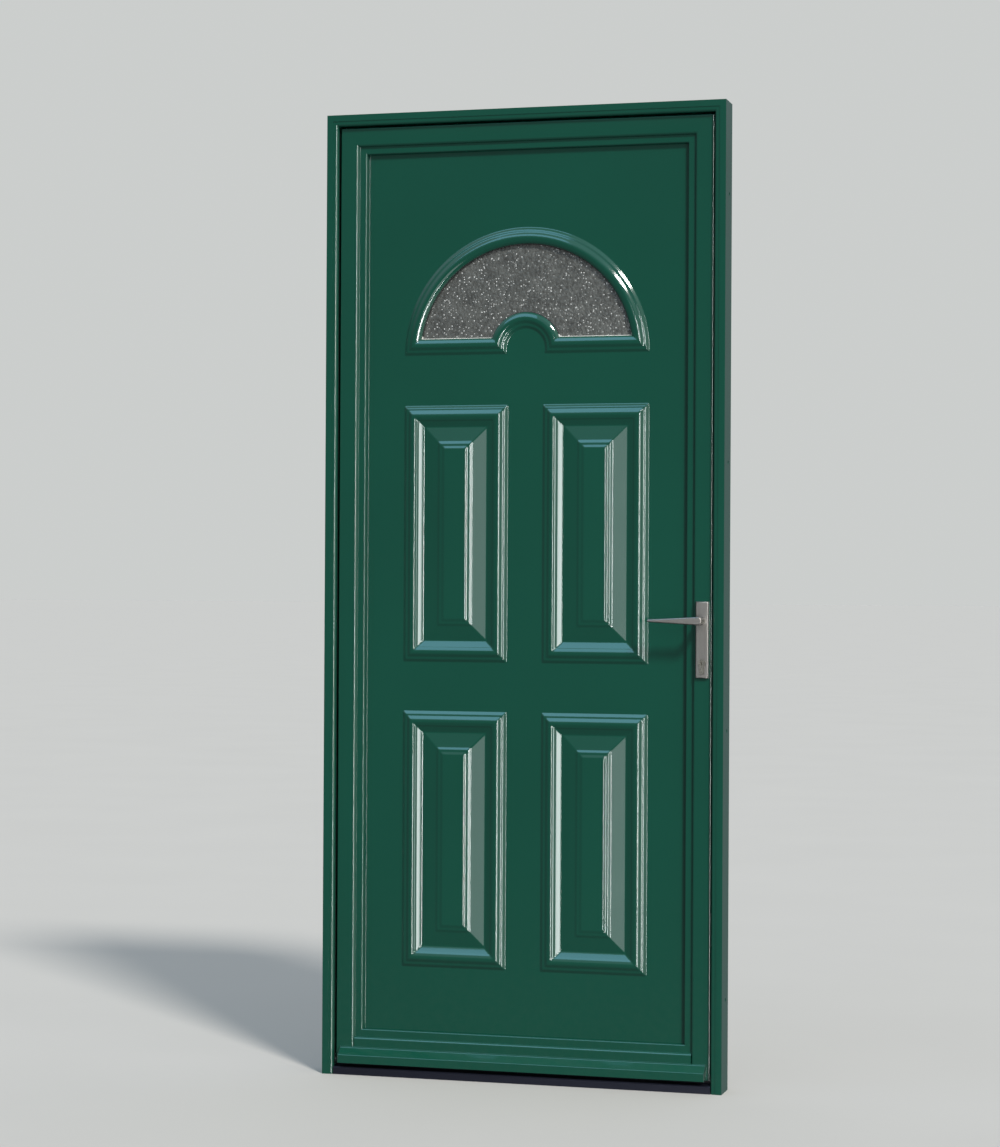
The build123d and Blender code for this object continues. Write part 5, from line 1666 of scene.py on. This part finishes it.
def make_surround(stage):
    """Soft light, brighter from above and from the right, and a plain pale backdrop for the camera."""
    world = bpy.data.worlds.new("surround")
    world.use_nodes = True
    made = SimpleNamespace(nodes=world.node_tree.nodes, links=world.node_tree.links)
    direction = made.nodes.new("ShaderNodeSeparateXYZ")
    feed(made, made.nodes.new("ShaderNodeTexCoord").outputs["Generated"], direction.inputs["Vector"])
    upward = ramp(made, direction.outputs["Z"], 0.15, 0.6, 0.0, 1.0)
    overhead = ramp(made, direction.outputs["Z"], 0.85, 0.97, 1.0, 0.15)
    rightward = ramp(made, direction.outputs["X"], 0.35, 0.85, 0.0, 1.0)
    lit = mixed(made, maths(made, "MULTIPLY", upward, overhead), stage.shade, stage.above)
    lit = mixed(made, rightward, lit, stage.beside)
    background = made.nodes["Background"]
    feed(made, lit, background.inputs["Color"])
    pale = made.nodes.new("ShaderNodeBackground")
    feed(made, stage.backdrop, pale.inputs["Color"])
    seen = made.nodes.new("ShaderNodeLightPath").outputs["Is Camera Ray"]
    mix = made.nodes.new("ShaderNodeMixShader")
    feed(made, seen, mix.inputs[0])
    feed(made, background.outputs["Background"], mix.inputs[1])
    feed(made, pale.outputs["Background"], mix.inputs[2])
    feed(made, mix.outputs["Shader"], made.nodes["World Output"].inputs["Surface"])
    bpy.context.scene.world = world


def make_floor(stage):
    """A wide pale floor that the area lamps leave alone, with a darker tone for the light that it throws
    back.
    """
    made = start_material("stage_floor")
    tone = use_group(made, "Tone", Colour=stage.floor, Scale=1.5, Change=0.01, Smooth=0.8, Rough=1.0)
    seen = made.nodes.new("ShaderNodeLightPath").outputs["Is Camera Ray"]
    sockets = {
        "Base Color": mixed(made, seen, stage.bounce, tone["Colour"]),
        "Roughness": tone["Roughness"],
        "Specular IOR Level": 0.0,
    }
    shade_with(made, sockets)
    rest()
    bpy.ops.mesh.primitive_plane_add(size=stage.floor_size)
    floor = newest("floor")
    floor.visible_glossy = False
    floor.visible_shadow = False
    floor.data.materials.append(bpy.data.materials["stage_floor"])
    unlit = bpy.data.collections.new("unlit")
    unlit.objects.link(floor)
    unlit.collection_objects[0].light_linking.link_state = "EXCLUDE"


def place_camera(stage):
    """The camera, turned to the left, tilted up and rolled."""
    data = bpy.data.cameras.new("camera")
    camera = bpy.data.objects.new("camera", data)
    bpy.context.scene.collection.objects.link(camera)
    bpy.context.scene.camera = camera
    data.sensor_width = 36.0
    data.lens = stage.lens
    camera.location = (stage.right, -stage.away, stage.height)
    level = Matrix.Rotation(stage.yaw, 4, "Z") @ Matrix.Rotation(math.pi / 2 + stage.tilt, 4, "X")
    camera.rotation_euler = (level @ Matrix.Rotation(stage.roll, 4, "Z")).to_euler()


class DOOR_OT_stage(bpy.types.Operator):
    """Pale floor, soft light and the camera"""

    bl_idname = "door.stage"
    bl_label = "Stage"

    def execute(self, context):
        stage = context.scene.door_stage
        make_floor(stage)
        make_surround(stage)
        sun_light("key", *SUN)
        for lamp in LAMPS:
            area_light(*lamp)
        context.scene.view_settings.view_transform = "Standard"
        place_camera(stage)
        return {"FINISHED"}


steps = (
    DOOR_OT_finishes,
    DOOR_OT_frame,
    DOOR_OT_threshold,
    DOOR_OT_leaf,
    DOOR_OT_weather_bar,
    DOOR_OT_panel,
    DOOR_OT_beads,
    DOOR_OT_handles,
    DOOR_OT_hinges,
    DOOR_OT_faceplate,
    DOOR_OT_screws,
    DOOR_OT_stage,
)


class DOOR_PT_sidebar(bpy.types.Panel):
    """The door's steps and sizes, in the 3D view's sidebar"""

    bl_label = "Panelled Front Door"
    bl_idname = "DOOR_PT_sidebar"
    bl_space_type = "VIEW_3D"
    bl_region_type = "UI"
    bl_category = "Door"

    def draw(self, context):
        for step in steps:
            self.layout.operator(step.bl_idname)
        for name in groups:
            box = self.layout.box()
            settings = getattr(context.scene, name)
            for label in settings.__annotations__:
                box.prop(settings, label)


def register():
    """Register the sizes, the steps and the panel."""
    for name, group in groups.items():
        bpy.utils.register_class(group)
        setattr(bpy.types.Scene, name, bpy.props.PointerProperty(type=group))
    for step in steps:
        bpy.utils.register_class(step)
    bpy.utils.register_class(DOOR_PT_sidebar)


def unregister():
    """Take them away again."""
    bpy.utils.unregister_class(DOOR_PT_sidebar)
    for step in reversed(steps):
        bpy.utils.unregister_class(step)
    for name, group in groups.items():
        delattr(bpy.types.Scene, name)
        bpy.utils.unregister_class(group)


def main():
    """Run every step in order."""
    register()
    for step in steps:
        area, action = step.bl_idname.split(".")
        getattr(getattr(bpy.ops, area), action)()


if __name__ == "__main__":
    main()
